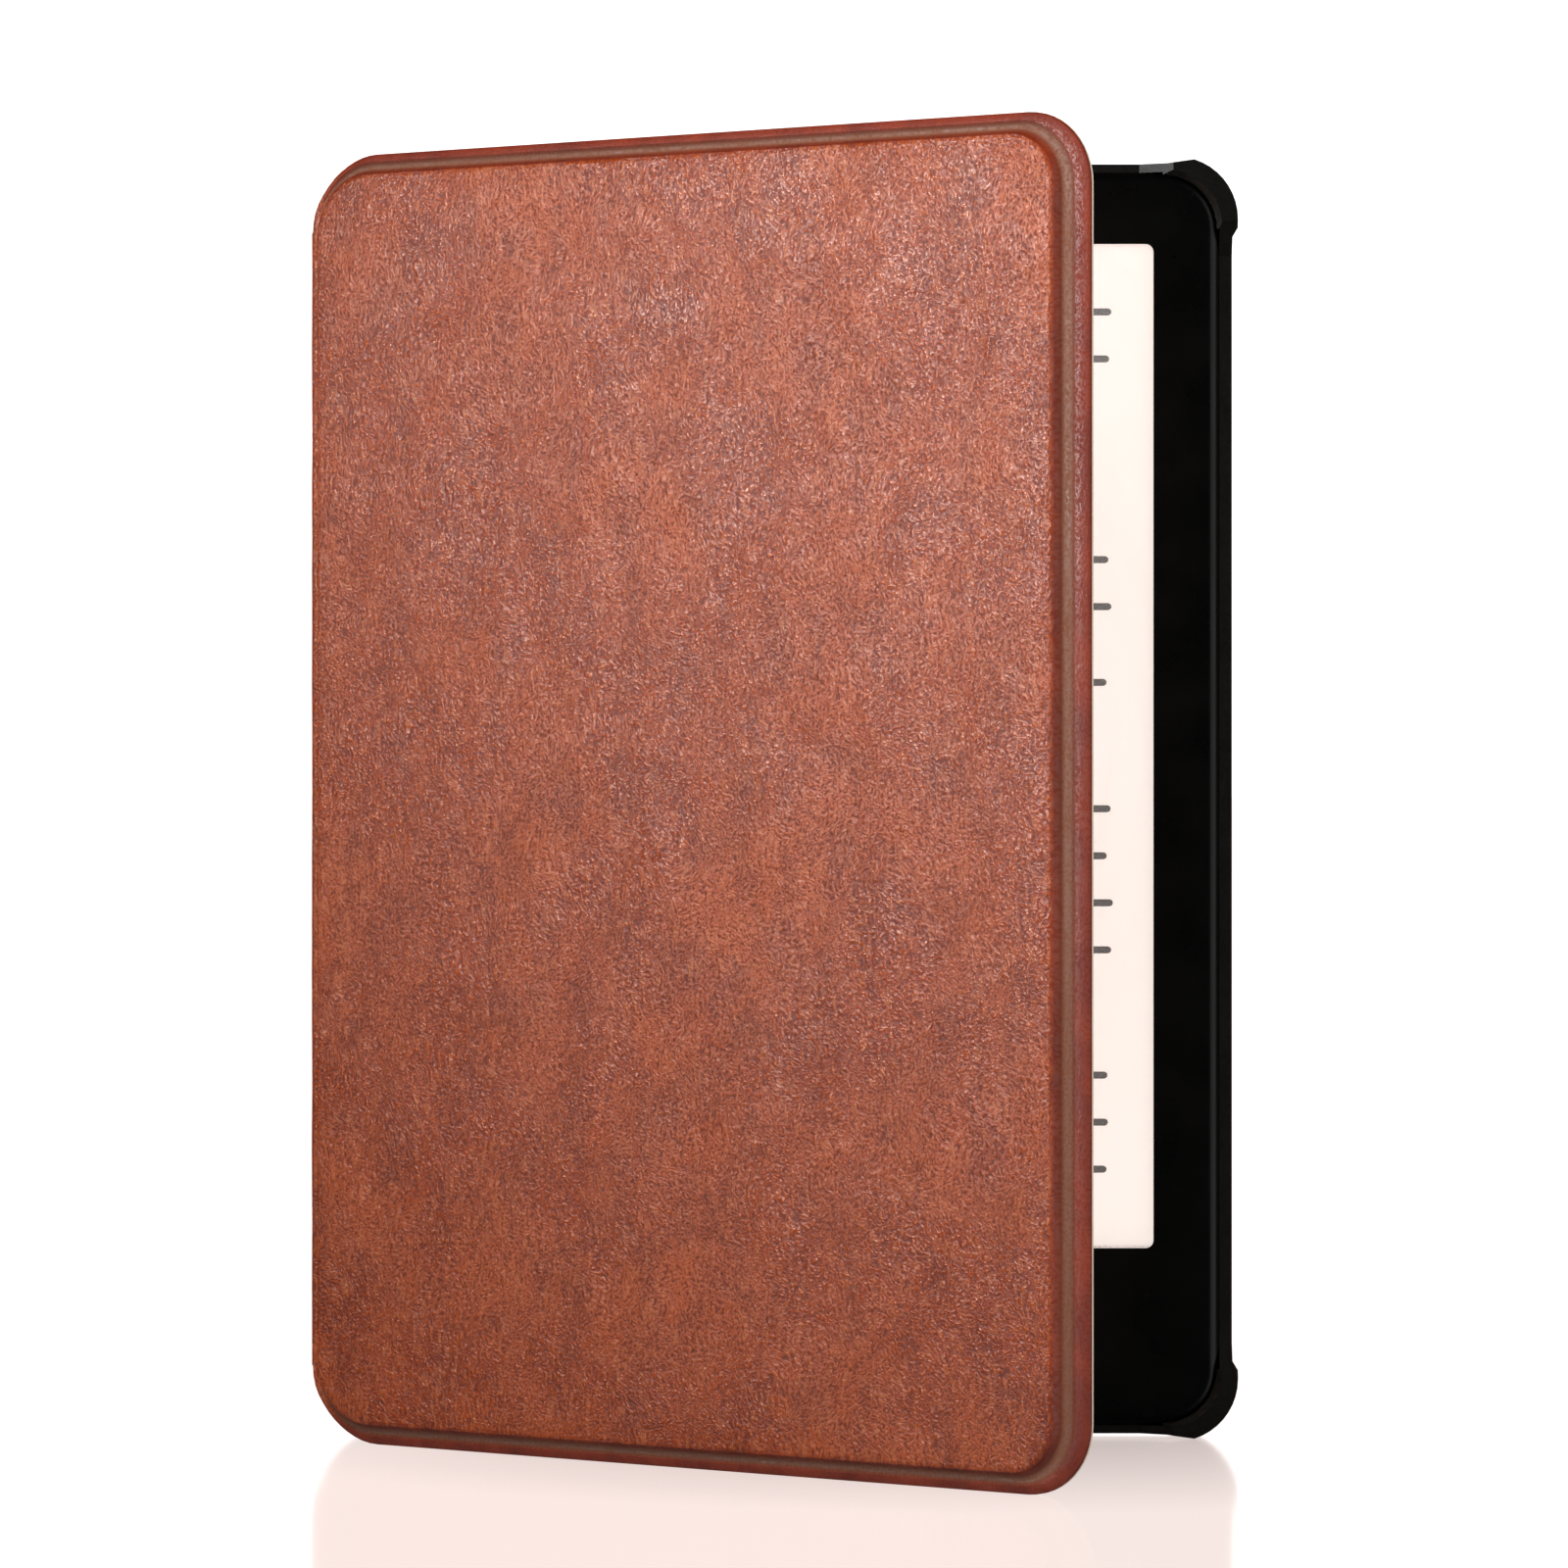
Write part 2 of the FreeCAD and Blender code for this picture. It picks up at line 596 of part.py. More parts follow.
def mainboard():
    """The circuit board, with cut-outs round the charging socket and the button's switch."""
    body = plate("mainboard", dim("pcb_width"), dim("pcb_height"), 2, pcb_at, dim("pcb"), 0,
                 (pcb_low + pcb_high) / 2)
    cuts = new_sketch(body, "board_cuts", offset=pcb_front)
    for across, wide, above in ((dim("port_across"), dim("port_width"), 8.0),
                                (dim("button_across"), dim("switch_width"), 6.9)):
        tall = size(12.0)
        rounded(cuts, wide + dim("edge_play") * 2, tall, 0.5, across, reader_bottom + above - tall / 2)
    pocket(body, cuts, dim("pcb") + 1)
    return body


def shield_can():
    """The sheet-metal lid over the processor and memory."""
    wide, tall, sheet_metal = dim("shield_width"), dim("shield_height"), dim("shield_sheet")
    up = reader_bottom + dim("shield_up")
    body = plate("processor_shield", wide, tall, 0.8, pcb_front, dim("shield_depth"),
                 dim("shield_across"), up)
    inside = new_sketch(body, "shield_inside", offset=pcb_front)
    rounded(inside, wide - sheet_metal * 2, tall - sheet_metal * 2, 0.6, dim("shield_across"), up)
    pocket(body, inside, dim("shield_depth") - sheet_metal, forward=True)
    return body


def board_parts():
    """The chips, connector, sensor and lamp on the board's front."""
    made = []
    for label, (across, above, wide, tall, thick) in BOARD_PARTS.items():
        low = reader_bottom + above - tall / 2
        made.append(block(label, across - wide / 2, across + wide / 2, pcb_front, pcb_front + thick,
                          low, low + tall))
    return made


def battery_cell():
    """The flat lithium pouch behind the screen."""
    body = plate("battery_cell", dim("cell_width"), dim("cell_height"), 3, cell_at, dim("cell_depth"),
                 0, cell_low + dim("cell_height") / 2)
    for place in (-cell_at.number, -cell_front.number):
        dress(body, "Fillet", edges_on(body.Tip.Shape, place), dim("cell_edge"))
    return body


def battery_cable():
    """The flat lead from the pouch to its connector on the board."""
    half = dim("cable_width") / 2
    return block("battery_cable", -half, half, cell_front, cell_front + dim("cable"),
                 pcb_high - 0.2, cell_low + 5)


def display_flex():
    """The ribbon from the foot of the e-paper panel, through the frame, to its plug on the board."""
    half, thick = dim("flex_width") / 2, dim("flex")
    turn = panel_foot - dim("flex_drop")
    front = paper_at + 0.35
    plug_front = pcb_front + 0.6
    return joined("MultiFuse", "display_flex", [
        block("flex_front", -half, half, front - thick, front, turn, panel_foot),
        block("flex_through", -half, half, plug_front, front, turn, turn + thick),
        block("flex_back", -half, half, plug_front, plug_front + thick, turn - 4, turn + thick),
        block("flex_plug", -half - 1, half + 1, pcb_front, plug_front, turn - 4, turn - 1),
    ])


def led_strip():
    """The strip of lamps along the foot of the light guide."""
    half, band, thick = dim("lamp_board") / 2, dim("lamp_band"), 0.1
    low = screen_foot - 2.0
    strip = [block("lamp_board", -half, half, guide_at, guide_at + thick, low, low + band)]
    count = 14
    first = dim("lamp_pitch") * ((1 - count) / 2)
    for number in range(count):
        left = first + dim("lamp_pitch") * number - dim("lamp") / 2
        strip.append(block(f"lamp_{number + 1}", left, left + dim("lamp"), guide_at + thick,
                           guide_at + 0.45, low + thick, low + band - thick))
    return joined("MultiFuse", "led_strip", strip)


def housing_magnets():
    """The pair of bar magnets beside the screen that the closed cover clings to."""
    right = dim("reader_width") / 2 - dim("shell") - dim("bar_wall")
    half = dim("bar_height") / 2
    bars = []
    for label, up in (("low_magnet", -dim("bar_up")), ("high_magnet", dim("bar_up"))):
        bars.append(block(label, right - dim("bar_width"), right, boss_back, frame_at - 0.2,
                          up - half, up + half))
    return joined("Compound", "housing_magnets", bars)


# ---------------------------------------------------------------- hard tray

arc_across = tray_width / 2 - dim("bracket_across")
arc_up = tray_height / 2 - dim("bracket_up")
nest_across = dim("reader_width") / 2 - dim("reader_radius")
nest_up = dim("reader_height") / 2 - dim("reader_radius")
peak_up = dim("total_height") / 2


def corner_bracket(body):
    """The raised clip round one corner of the tray: a bulging outer wall with a crest, a step at each
    end, and a hooked lip inside that holds the reader."""
    inner_side = tray_width / 2 - dim("side_wall")
    inner_end = tray_height / 2 - dim("end_wall")
    nest_radius = dim("reader_radius") + dim("nest_gap")
    reach = dim("ramp_start") + dim("ramp_length")
    wall = new_sketch(body, "bracket_wall", offset=tray_at + dim("bracket_back"))
    side = arc_across + dim("bracket_radius")
    polygon(wall, [
        (arc_across - reach, tray_height / 2),
        (arc_across - 1.0, tray_height / 2),
        (arc_across + dim("peak_across"), peak_up, dim("bracket_radius"), (arc_across, arc_up)),
        (side, arc_up),
        (side, arc_up - dim("bracket_step")),
        (tray_width / 2, arc_up - dim("bracket_step") * 2),
        (tray_width / 2, arc_up - reach),
        (inner_side, arc_up - reach),
        (inner_side, nest_up, nest_radius, (nest_across, nest_up)),
        (nest_across, inner_end),
        (arc_across - reach, inner_end),
    ])
    pad(body, wall, bracket_top - tray_at - dim("bracket_back"))
    lip = new_sketch(body, "bracket_lip", offset=bracket_top - dim("lip_depth"))
    hook = dim("lip_hook") + dim("nest_gap")
    outer_radius = nest_radius + 1.0
    inner_radius = nest_radius - hook
    polygon(lip, [
        (nest_across, nest_up + outer_radius, outer_radius, (nest_across, nest_up)),
        (nest_across + outer_radius, nest_up),
        (nest_across + inner_radius, nest_up, inner_radius, (nest_across, nest_up)),
        (nest_across, nest_up + inner_radius),
    ])
    pad(body, lip, dim("lip_depth"))
    return body


def bracket_ramps(body):
    """Slopes both ends of the corner bracket down to the tray's lower rim."""
    above = bracket_top + 1
    reach = dim("ramp_start") + dim("ramp_length")
    side = new_sketch(body, "side_ramp", "YZ_Plane", tray_width / 2 + 2)
    polygon(side, [
        (-rim_at, arc_up - reach),
        (-above, arc_up - reach),
        (-above, arc_up - dim("ramp_start")),
        (-bracket_top, arc_up - dim("ramp_start")),
    ])
    pocket(body, side, dim("side_wall") + 3)
    end = new_sketch(body, "end_ramp", "XY_Plane", tray_height / 2 + 2)
    polygon(end, [
        (arc_across - reach, -rim_at),
        (arc_across - dim("ramp_start"), -bracket_top),
        (arc_across - dim("ramp_start"), -above),
        (arc_across - reach, -above),
    ])
    pocket(body, end, dim("end_wall") + 3)


def case_tray():
    """The hard tray that the reader snaps into, with a bracket at each corner and a notch in its
    bottom wall for the socket, the charge light and the button."""
    body = plate("case_tray", tray_width, tray_height, dim("tray_radius"), tray_at, rim_at - tray_at)
    dress(body, "Fillet", edges_on(body.Tip.Shape, -tray_at.number), dim("tray_edge"))
    nest = new_sketch(body, "nest", offset=rim_at)
    rounded(nest, dim("reader_width") + dim("nest_gap") * 2, dim("reader_height") + dim("nest_gap") * 2,
            dim("reader_radius") + dim("nest_gap"))
    pocket(body, nest, dim("rim_rise"))
    corner_bracket(body)
    top = -bracket_top.number
    inner = edges_on(body.Tip.Shape, top, longer_than=8, shorter_than=12.5,
                     keep=lambda box: box.XMax < nest_across.number + DIMENSIONS["reader_radius"])
    dress(body, "Chamfer", inner, dim("lip_slope"))
    bracket_ramps(body)
    mirror_whole(body, "YZ_Plane")
    mirror_whole(body, "XY_Plane")
    notch = new_sketch(body, "port_notch", "XY_Plane", -(tray_height / 2) - 1)
    back = reader_at + dim("notch_floor")
    polygon(notch, [
        (dim("notch_middle") - dim("notch_width") / 2, -back),
        (dim("notch_middle") + dim("notch_width") / 2, -back),
        (dim("notch_middle") + dim("notch_width") / 2, -bracket_top),
        (dim("notch_middle") - dim("notch_width") / 2, -bracket_top),
    ])
    pocket(body, notch, dim("end_wall") + 1, forward=True)
    return body


# ---------------------------------------------------------------- folio: rear leather and spine


def rear_leather():
    """The leather panel on the tray's back."""
    inset = dim("rear_inset") * 2
    return plate("rear_leather", tray_width - 0.4, dim("total_height") - inset, dim("folio_radius"),
                 0, dim("leather"))


def spine_piece(label, back, thick):
    """One layer of the spine: back is how far its outer face lies inside the spine's outer face."""
    outer = fold_across - dim("leather") / 2 + back
    half = dim("spine_height") / 2
    return block(label, outer, outer + thick, dim("leather") + dim("spine_inset"),
                 fold_depth - dim("spine_stop"), -half, half)


# ---------------------------------------------------------------- folio: front cover
# In the cover's own directions, depth 0 is the middle of the leather's thickness.

field_front = dim("leather") / 2
board_front = -(dim("leather") / 2)
board_back = board_front - dim("board")
lining_back = board_back - dim("lining")
lip_front = board_back + dim("lip_leather")
cover_wide = dim("cover_reach") - dim("cover_start")
cover_middle = (dim("cover_reach") + dim("cover_start")) / 2
field_end = dim("cover_reach") - dim("lip_side")
field_wide = field_end - dim("cover_start")
field_middle = (field_end + dim("cover_start")) / 2
field_tall = dim("total_height") - dim("lip_end") * 2
board_wide = field_wide - dim("board_inset") * 2
board_tall = field_tall - dim("board_inset") * 2


def front_leather():
    """The cover's leather: a raised field over the board, a pressed groove round it and a thin lip."""
    body = plate("front_leather", cover_wide, dim("total_height"), dim("folio_radius"), board_back,
                 dim("lip_leather"), cover_middle, 0, cover_body)
    field = new_sketch(body, "raised_field", offset=lip_front)
    rounded(field, field_wide, field_tall, dim("field_radius"), field_middle, 0)
    pad(body, field, field_front - lip_front)
    dress(body, "Chamfer", edges_on(body.Tip.Shape, -field_front.number), dim("field_slope"))
    groove = new_sketch(body, "pressed_groove", offset=lip_front)
    past = 12.0
    for side, end, radius in ((0, 0, dim("field_radius")),
                              (dim("groove_side"), dim("groove_end"), dim("field_radius") + 1)):
        rounded(groove, field_wide + past + size(side) * 2, field_tall + size(end) * 2, radius,
                field_middle - past / 2, 0)
    pocket(body, groove, dim("groove_depth"))
    seat = new_sketch(body, "board_seat", offset=board_back)
    rounded(seat, board_wide, board_tall, dim("field_radius") - 1.2, field_middle, 0)
    pocket(body, seat, dim("board"), forward=True)
    return body


def bar_outlines(sketch, play=0):
    """Outlines of the cover's two closure magnets, or with play taken off for the magnets themselves."""
    for up in (-dim("bar_up"), dim("bar_up")):
        rounded(sketch, dim("cover_bar") - size(play) * 2, dim("bar_height") - size(play) * 2, 0.5,
                dim("cover_bar_at"), up)


def disc_outline(sketch, play=0):
    """Outline of the magnet that sends the reader to sleep."""
    circle(sketch, dim("sleep_at"), dim("sleep_up"), dim("sleep_radius") - play)


def front_board():
    """The stiff board inside the cover, with seats for its magnets."""
    body = plate("front_board", board_wide, board_tall, dim("field_radius") - 1.2, board_back,
                 dim("board"), field_middle, 0, cover_body)
    seats = new_sketch(body, "magnet_seats", offset=board_back)
    bar_outlines(seats)
    disc_outline(seats)
    pocket(body, seats, dim("seat_depth"), forward=True)
    return body


def cover_magnet(label, outlines):
    """Magnets that fill the board's seats, from the lining side."""
    body = cover_body(label)
    sketch = new_sketch(body, label + "_outline", offset=board_back)
    outlines(sketch, dim("seat_play"))
    pad(body, sketch, dim("seat_depth") - dim("seat_play"))
    return body


# ---------------------------------------------------------------- the whole object


def build():
    """Makes every sub-part and returns them."""
    lens_play = dim("screen_gap") / 2
    parts = [
        rear_housing(),
        front_bezel(),
        gasket(),
        plate("display_lens", dim("screen_width") + lens_play, dim("screen_height") + lens_play,
              dim("screen_radius"), stack_front, dim("bezel_rest"), 0, screen_up),
        screen_layer("touch_sensor", touch_at, dim("touch_film"), "panel_margin"),
        screen_layer("light_guide", guide_at, dim("guide"), "guide_margin", drop=1.2),
        screen_layer("epaper_panel", paper_at, dim("paper"), "panel_margin"),
        led_strip(),
        mid_frame(),
        frame_screws(),
        display_flex(),
        usb_c_socket(),
        power_button(),
        button_switch(),
        cylinder("charge_light_pipe", dim("light_across"), edge_depth, reader_bottom,
                 dim("light_radius"), dim("light_length"), along_depth=False),
        mainboard(),
        shield_can(),
        *board_parts(),
        battery_cell(),
        battery_cable(),
        block("wifi_antenna", -30, 10, boss_back, boss_back + 0.2, 79.0, 84.0),
        housing_magnets(),
        case_tray(),
        rear_leather(),
        spine_piece("spine_leather", 0, dim("leather")),
        spine_piece("spine_lining", dim("leather"), dim("lining")),
        front_leather(),
        front_board(),
        plate("front_lining", cover_wide, dim("total_height"), dim("folio_radius"), lining_back,
              dim("lining"), cover_middle, 0, cover_body),
        cover_magnet("closure_magnets", bar_outlines),
        cover_magnet("sleep_magnet", disc_outline),
    ]
    doc.recompute()
    return parts


def check(parts):
    """Stops if any object failed to compute or any sub-part's shape is empty or invalid."""
    for thing in doc.Objects:
        if "Invalid" in thing.State or "Error" in thing.State:
            raise RuntimeError(f"{thing.Name} failed: {thing.State}")
    for part in parts:
        if part.Shape.isNull() or not part.Shape.isValid() or part.Shape.Volume <= 0:
            raise RuntimeError(f"{part.Label} has no valid solid")


def export(parts):
    """Writes one STEP file per sub-part and prints its size."""
    os.makedirs("parts", exist_ok=True)
    whole = FreeCAD.BoundBox()
    for part in parts:
        part.Shape.exportStep(f"parts/{part.Label}.step")
        whole.add(part.Shape.BoundBox)
        print(f"{part.Label:20s} {part.Shape.Volume:10.1f} mm3, {len(part.Shape.Solids)} solid(s)")
    print(f"{len(parts)} sub-parts; box {whole.XMin:.3f} {whole.YMin:.3f} {whole.ZMin:.3f} to "
          f"{whole.XMax:.3f} {whole.YMax:.3f} {whole.ZMax:.3f}")


all_parts = build()
check(all_parts)
export(all_parts)
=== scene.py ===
import json
import math
import random

import bmesh
import bpy
from mathutils import Matrix, Vector, noise

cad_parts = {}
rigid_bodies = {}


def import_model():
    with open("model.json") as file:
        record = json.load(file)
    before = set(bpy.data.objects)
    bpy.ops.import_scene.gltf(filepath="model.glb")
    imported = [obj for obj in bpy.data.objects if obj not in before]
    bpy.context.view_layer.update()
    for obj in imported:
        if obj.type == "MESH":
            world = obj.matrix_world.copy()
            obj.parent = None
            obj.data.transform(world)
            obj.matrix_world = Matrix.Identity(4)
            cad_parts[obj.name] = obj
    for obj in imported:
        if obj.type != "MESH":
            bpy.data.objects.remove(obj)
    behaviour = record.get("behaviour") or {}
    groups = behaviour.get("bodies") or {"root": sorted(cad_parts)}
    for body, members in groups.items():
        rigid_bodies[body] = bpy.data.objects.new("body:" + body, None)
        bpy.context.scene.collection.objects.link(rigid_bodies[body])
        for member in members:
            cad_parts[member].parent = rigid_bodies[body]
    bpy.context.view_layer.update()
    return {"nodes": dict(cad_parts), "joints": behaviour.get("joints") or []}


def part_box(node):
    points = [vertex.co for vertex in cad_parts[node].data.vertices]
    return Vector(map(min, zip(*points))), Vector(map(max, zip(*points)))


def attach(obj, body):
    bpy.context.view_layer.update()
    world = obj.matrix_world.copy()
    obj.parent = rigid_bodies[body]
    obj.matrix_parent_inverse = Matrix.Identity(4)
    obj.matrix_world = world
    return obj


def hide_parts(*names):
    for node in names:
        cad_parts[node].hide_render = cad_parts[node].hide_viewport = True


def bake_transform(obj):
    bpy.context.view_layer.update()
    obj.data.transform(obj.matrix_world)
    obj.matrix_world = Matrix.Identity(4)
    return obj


# An e-reader standing in its leather folio, with the front cover partly open.
# The hard parts are the frame's own solids with finished materials. The leather and its lining are
# modelled here as continuous sheets, pressed round the boards and bent round the spine's two folds.
# Metres, in the frame's axes: +Z up, and -Y the way the screen faces.

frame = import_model()

# ---------------------------------------------------------------- places, from the frame

MM = 0.001
joints = {joint["name"]: joint for joint in frame["joints"]}
rear_fold = Vector(joints["spine_fold"]["pos_m"])
cover_fold = Vector(joints["cover_fold"]["pos_m"])
open_angle = math.radians(-joints["cover_fold"]["range_deg"][0])
spine_wide = rear_fold.y - cover_fold.y
half_spine = spine_wide / 2

cover_low, cover_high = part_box("front_leather")
rear_low, rear_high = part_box("rear_leather")
screen_low, screen_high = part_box("display_lens")
paper_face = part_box("epaper_panel")[0].y

# ---------------------------------------------------------------- leather and lining: sizes

# Heights are from the middle of the leather's thickness. FOLD is how much of a sheet bends at a fold.
HALF_LEATHER = 0.45 * MM
LIP_FACE = -0.65 * MM
FOLD = 3.0 * MM
SPINE_HALF = 78.5 * MM
LINING = 0.5 * MM
LINING_PAST_FOLD = 1.3 * MM
LINING_SEAM = 2.0 * MM
# The leather isn't quite flat: it ripples by this much, in waves of these two sizes.
RIPPLE = 0.05 * MM
WIDE_RIPPLE = 11 * MM
SMALL_RIPPLE = 4 * MM

cover_tall = cover_high.z - cover_low.z
cover_reach = (cover_fold.y - cover_low.y - LIP_FACE * math.cos(open_angle)) / math.sin(open_angle)
rear_tall = rear_high.z - rear_low.z
rear_reach = rear_high.x - rear_fold.x

STEPS_ALONG = 72
STEPS_UP = 104
STEPS_ROUND = 12
STEPS_ACROSS_LINING = 24

# Each row of these tables is one line round a panel, from its outer edge inwards, in millimetres:
# how far in it lies from the free edge, from the ends and from the fold, the radius of its corners,
# its height above the middle of the leather away from the fold and along it, and how much of the
# leather's grain and of the groove's burnish it has.
FRONT_FACE = [
    (0.00, 0.00, 0.00, 9.50, -1.32, 0.15, 0.3, 0.0),
    (0.00, 0.00, 0.00, 9.50, -1.18, 0.15, 0.3, 0.0),
    (0.08, 0.08, 0.05, 9.42, -1.08, 0.15, 0.3, 0.0),
    (0.25, 0.22, 0.15, 9.28, -0.99, 0.15, 0.3, 0.0),
    (1.10, 0.62, 0.28, 8.88, -0.77, 0.15, 0.3, 0.0),
    (1.95, 1.05, 0.42, 8.45, -0.64, 0.15, 0.3, 0.0),
    (2.25, 1.28, 0.50, 8.22, -0.76, 0.15, 0.2, 0.6),
    (2.60, 1.50, 0.58, 8.00, -0.93, 0.15, 0.1, 1.0),
    (3.20, 1.80, 0.68, 7.70, -0.96, 0.15, 0.1, 1.0),
    (3.85, 2.10, 0.80, 7.40, -0.94, 0.15, 0.1, 1.0),
    (4.15, 2.30, 0.90, 7.20, -0.78, 0.18, 0.1, 0.5),
    (4.50, 2.60, 1.12, 6.90, 0.05, 0.32, 0.2, 0.0),
    (4.80, 2.85, 1.38, 6.65, 0.36, 0.42, 0.6, 0.0),
    (5.30, 3.30, 1.85, 6.20, 0.45, 0.45, 1.0, 0.0),
    (8.50, 6.40, 5.00, 3.10, 0.46, 0.46, 1.0, 0.0),
    (11.6, 9.50, 8.10, 0.00, 0.46, 0.46, 1.0, 0.0),
]
FRONT_BACK = [
    (0.00, 0.00, 0.00, 9.50, -1.65, -0.45, 0.0, 0.0),
    (0.50, 0.50, 0.50, 9.00, -1.65, -0.62, 0.0, 0.0),
    (1.20, 1.20, 1.20, 8.30, -1.65, -1.05, 0.0, 0.0),
    (1.90, 1.90, 1.90, 7.60, -1.65, -1.48, 0.0, 0.0),
    (2.60, 2.60, 2.60, 6.90, -1.65, -1.65, 0.0, 0.0),
    (9.50, 9.50, 9.50, 0.00, -1.65, -1.65, 0.0, 0.0),
]
REAR_FACE = [
    (0.00, 0.00, 0.00, 8.60, -0.10, 0.15, 0.5, 0.0),
    (0.02, 0.02, 0.02, 8.58, 0.15, 0.15, 0.6, 0.0),
    (0.15, 0.15, 0.15, 8.45, 0.36, 0.15, 0.8, 0.0),
    (0.40, 0.40, 0.40, 8.20, 0.44, 0.15, 1.0, 0.0),
    (0.90, 0.90, 0.90, 7.70, 0.45, 0.22, 1.0, 0.0),
    (1.50, 1.50, 1.50, 7.10, 0.45, 0.40, 1.0, 0.0),
    (2.10, 2.10, 2.10, 6.50, 0.45, 0.45, 1.0, 0.0),
    (8.60, 8.60, 8.60, 0.00, 0.45, 0.45, 1.0, 0.0),
]
REAR_BACK = [
    (0.00, 0.00, 0.00, 8.60, -0.45, -0.45, 0.0, 0.0),
    (8.60, 8.60, 8.60, 0.00, -0.45, -0.45, 0.0, 0.0),
]
# Across the spine, from a fold to its middle: how far from the fold, and the height of the face.
SPINE_FACE = [(0.25, 0.15), (0.5, 0.15), (0.8, 0.16), (1.1, 0.2), (1.4, 0.29), (1.8, 0.38), (2.3, 0.44),
              (3.0, 0.45), (4.0, 0.45), (5.2, 0.45)]

# ---------------------------------------------------------------- mesh helpers

WELD = 1e-7
CREASE = 38


def eased(low, high, value):
    """0 below low, 1 above high, and a smooth step between."""
    t = min(max((value - low) / (high - low), 0.0), 1.0)
    return t * t * (3 - 2 * t)


def finished_object(name, bm):
    """An object of a finished bmesh, smooth except at edges sharper than CREASE degrees."""
    bmesh.ops.remove_doubles(bm, verts=bm.verts, dist=WELD)
    bmesh.ops.dissolve_degenerate(bm, edges=bm.edges, dist=WELD)
    bmesh.ops.recalc_face_normals(bm, faces=bm.faces)
    for face in bm.faces:
        face.smooth = True
    for edge in bm.edges:
        if edge.calc_face_angle(0) > math.radians(CREASE):
            edge.smooth = False
    mesh = bpy.data.meshes.new(name)
    bm.to_mesh(mesh)
    bm.free()
    thing = bpy.data.objects.new(name, mesh)
    bpy.context.scene.collection.objects.link(thing)
    return thing


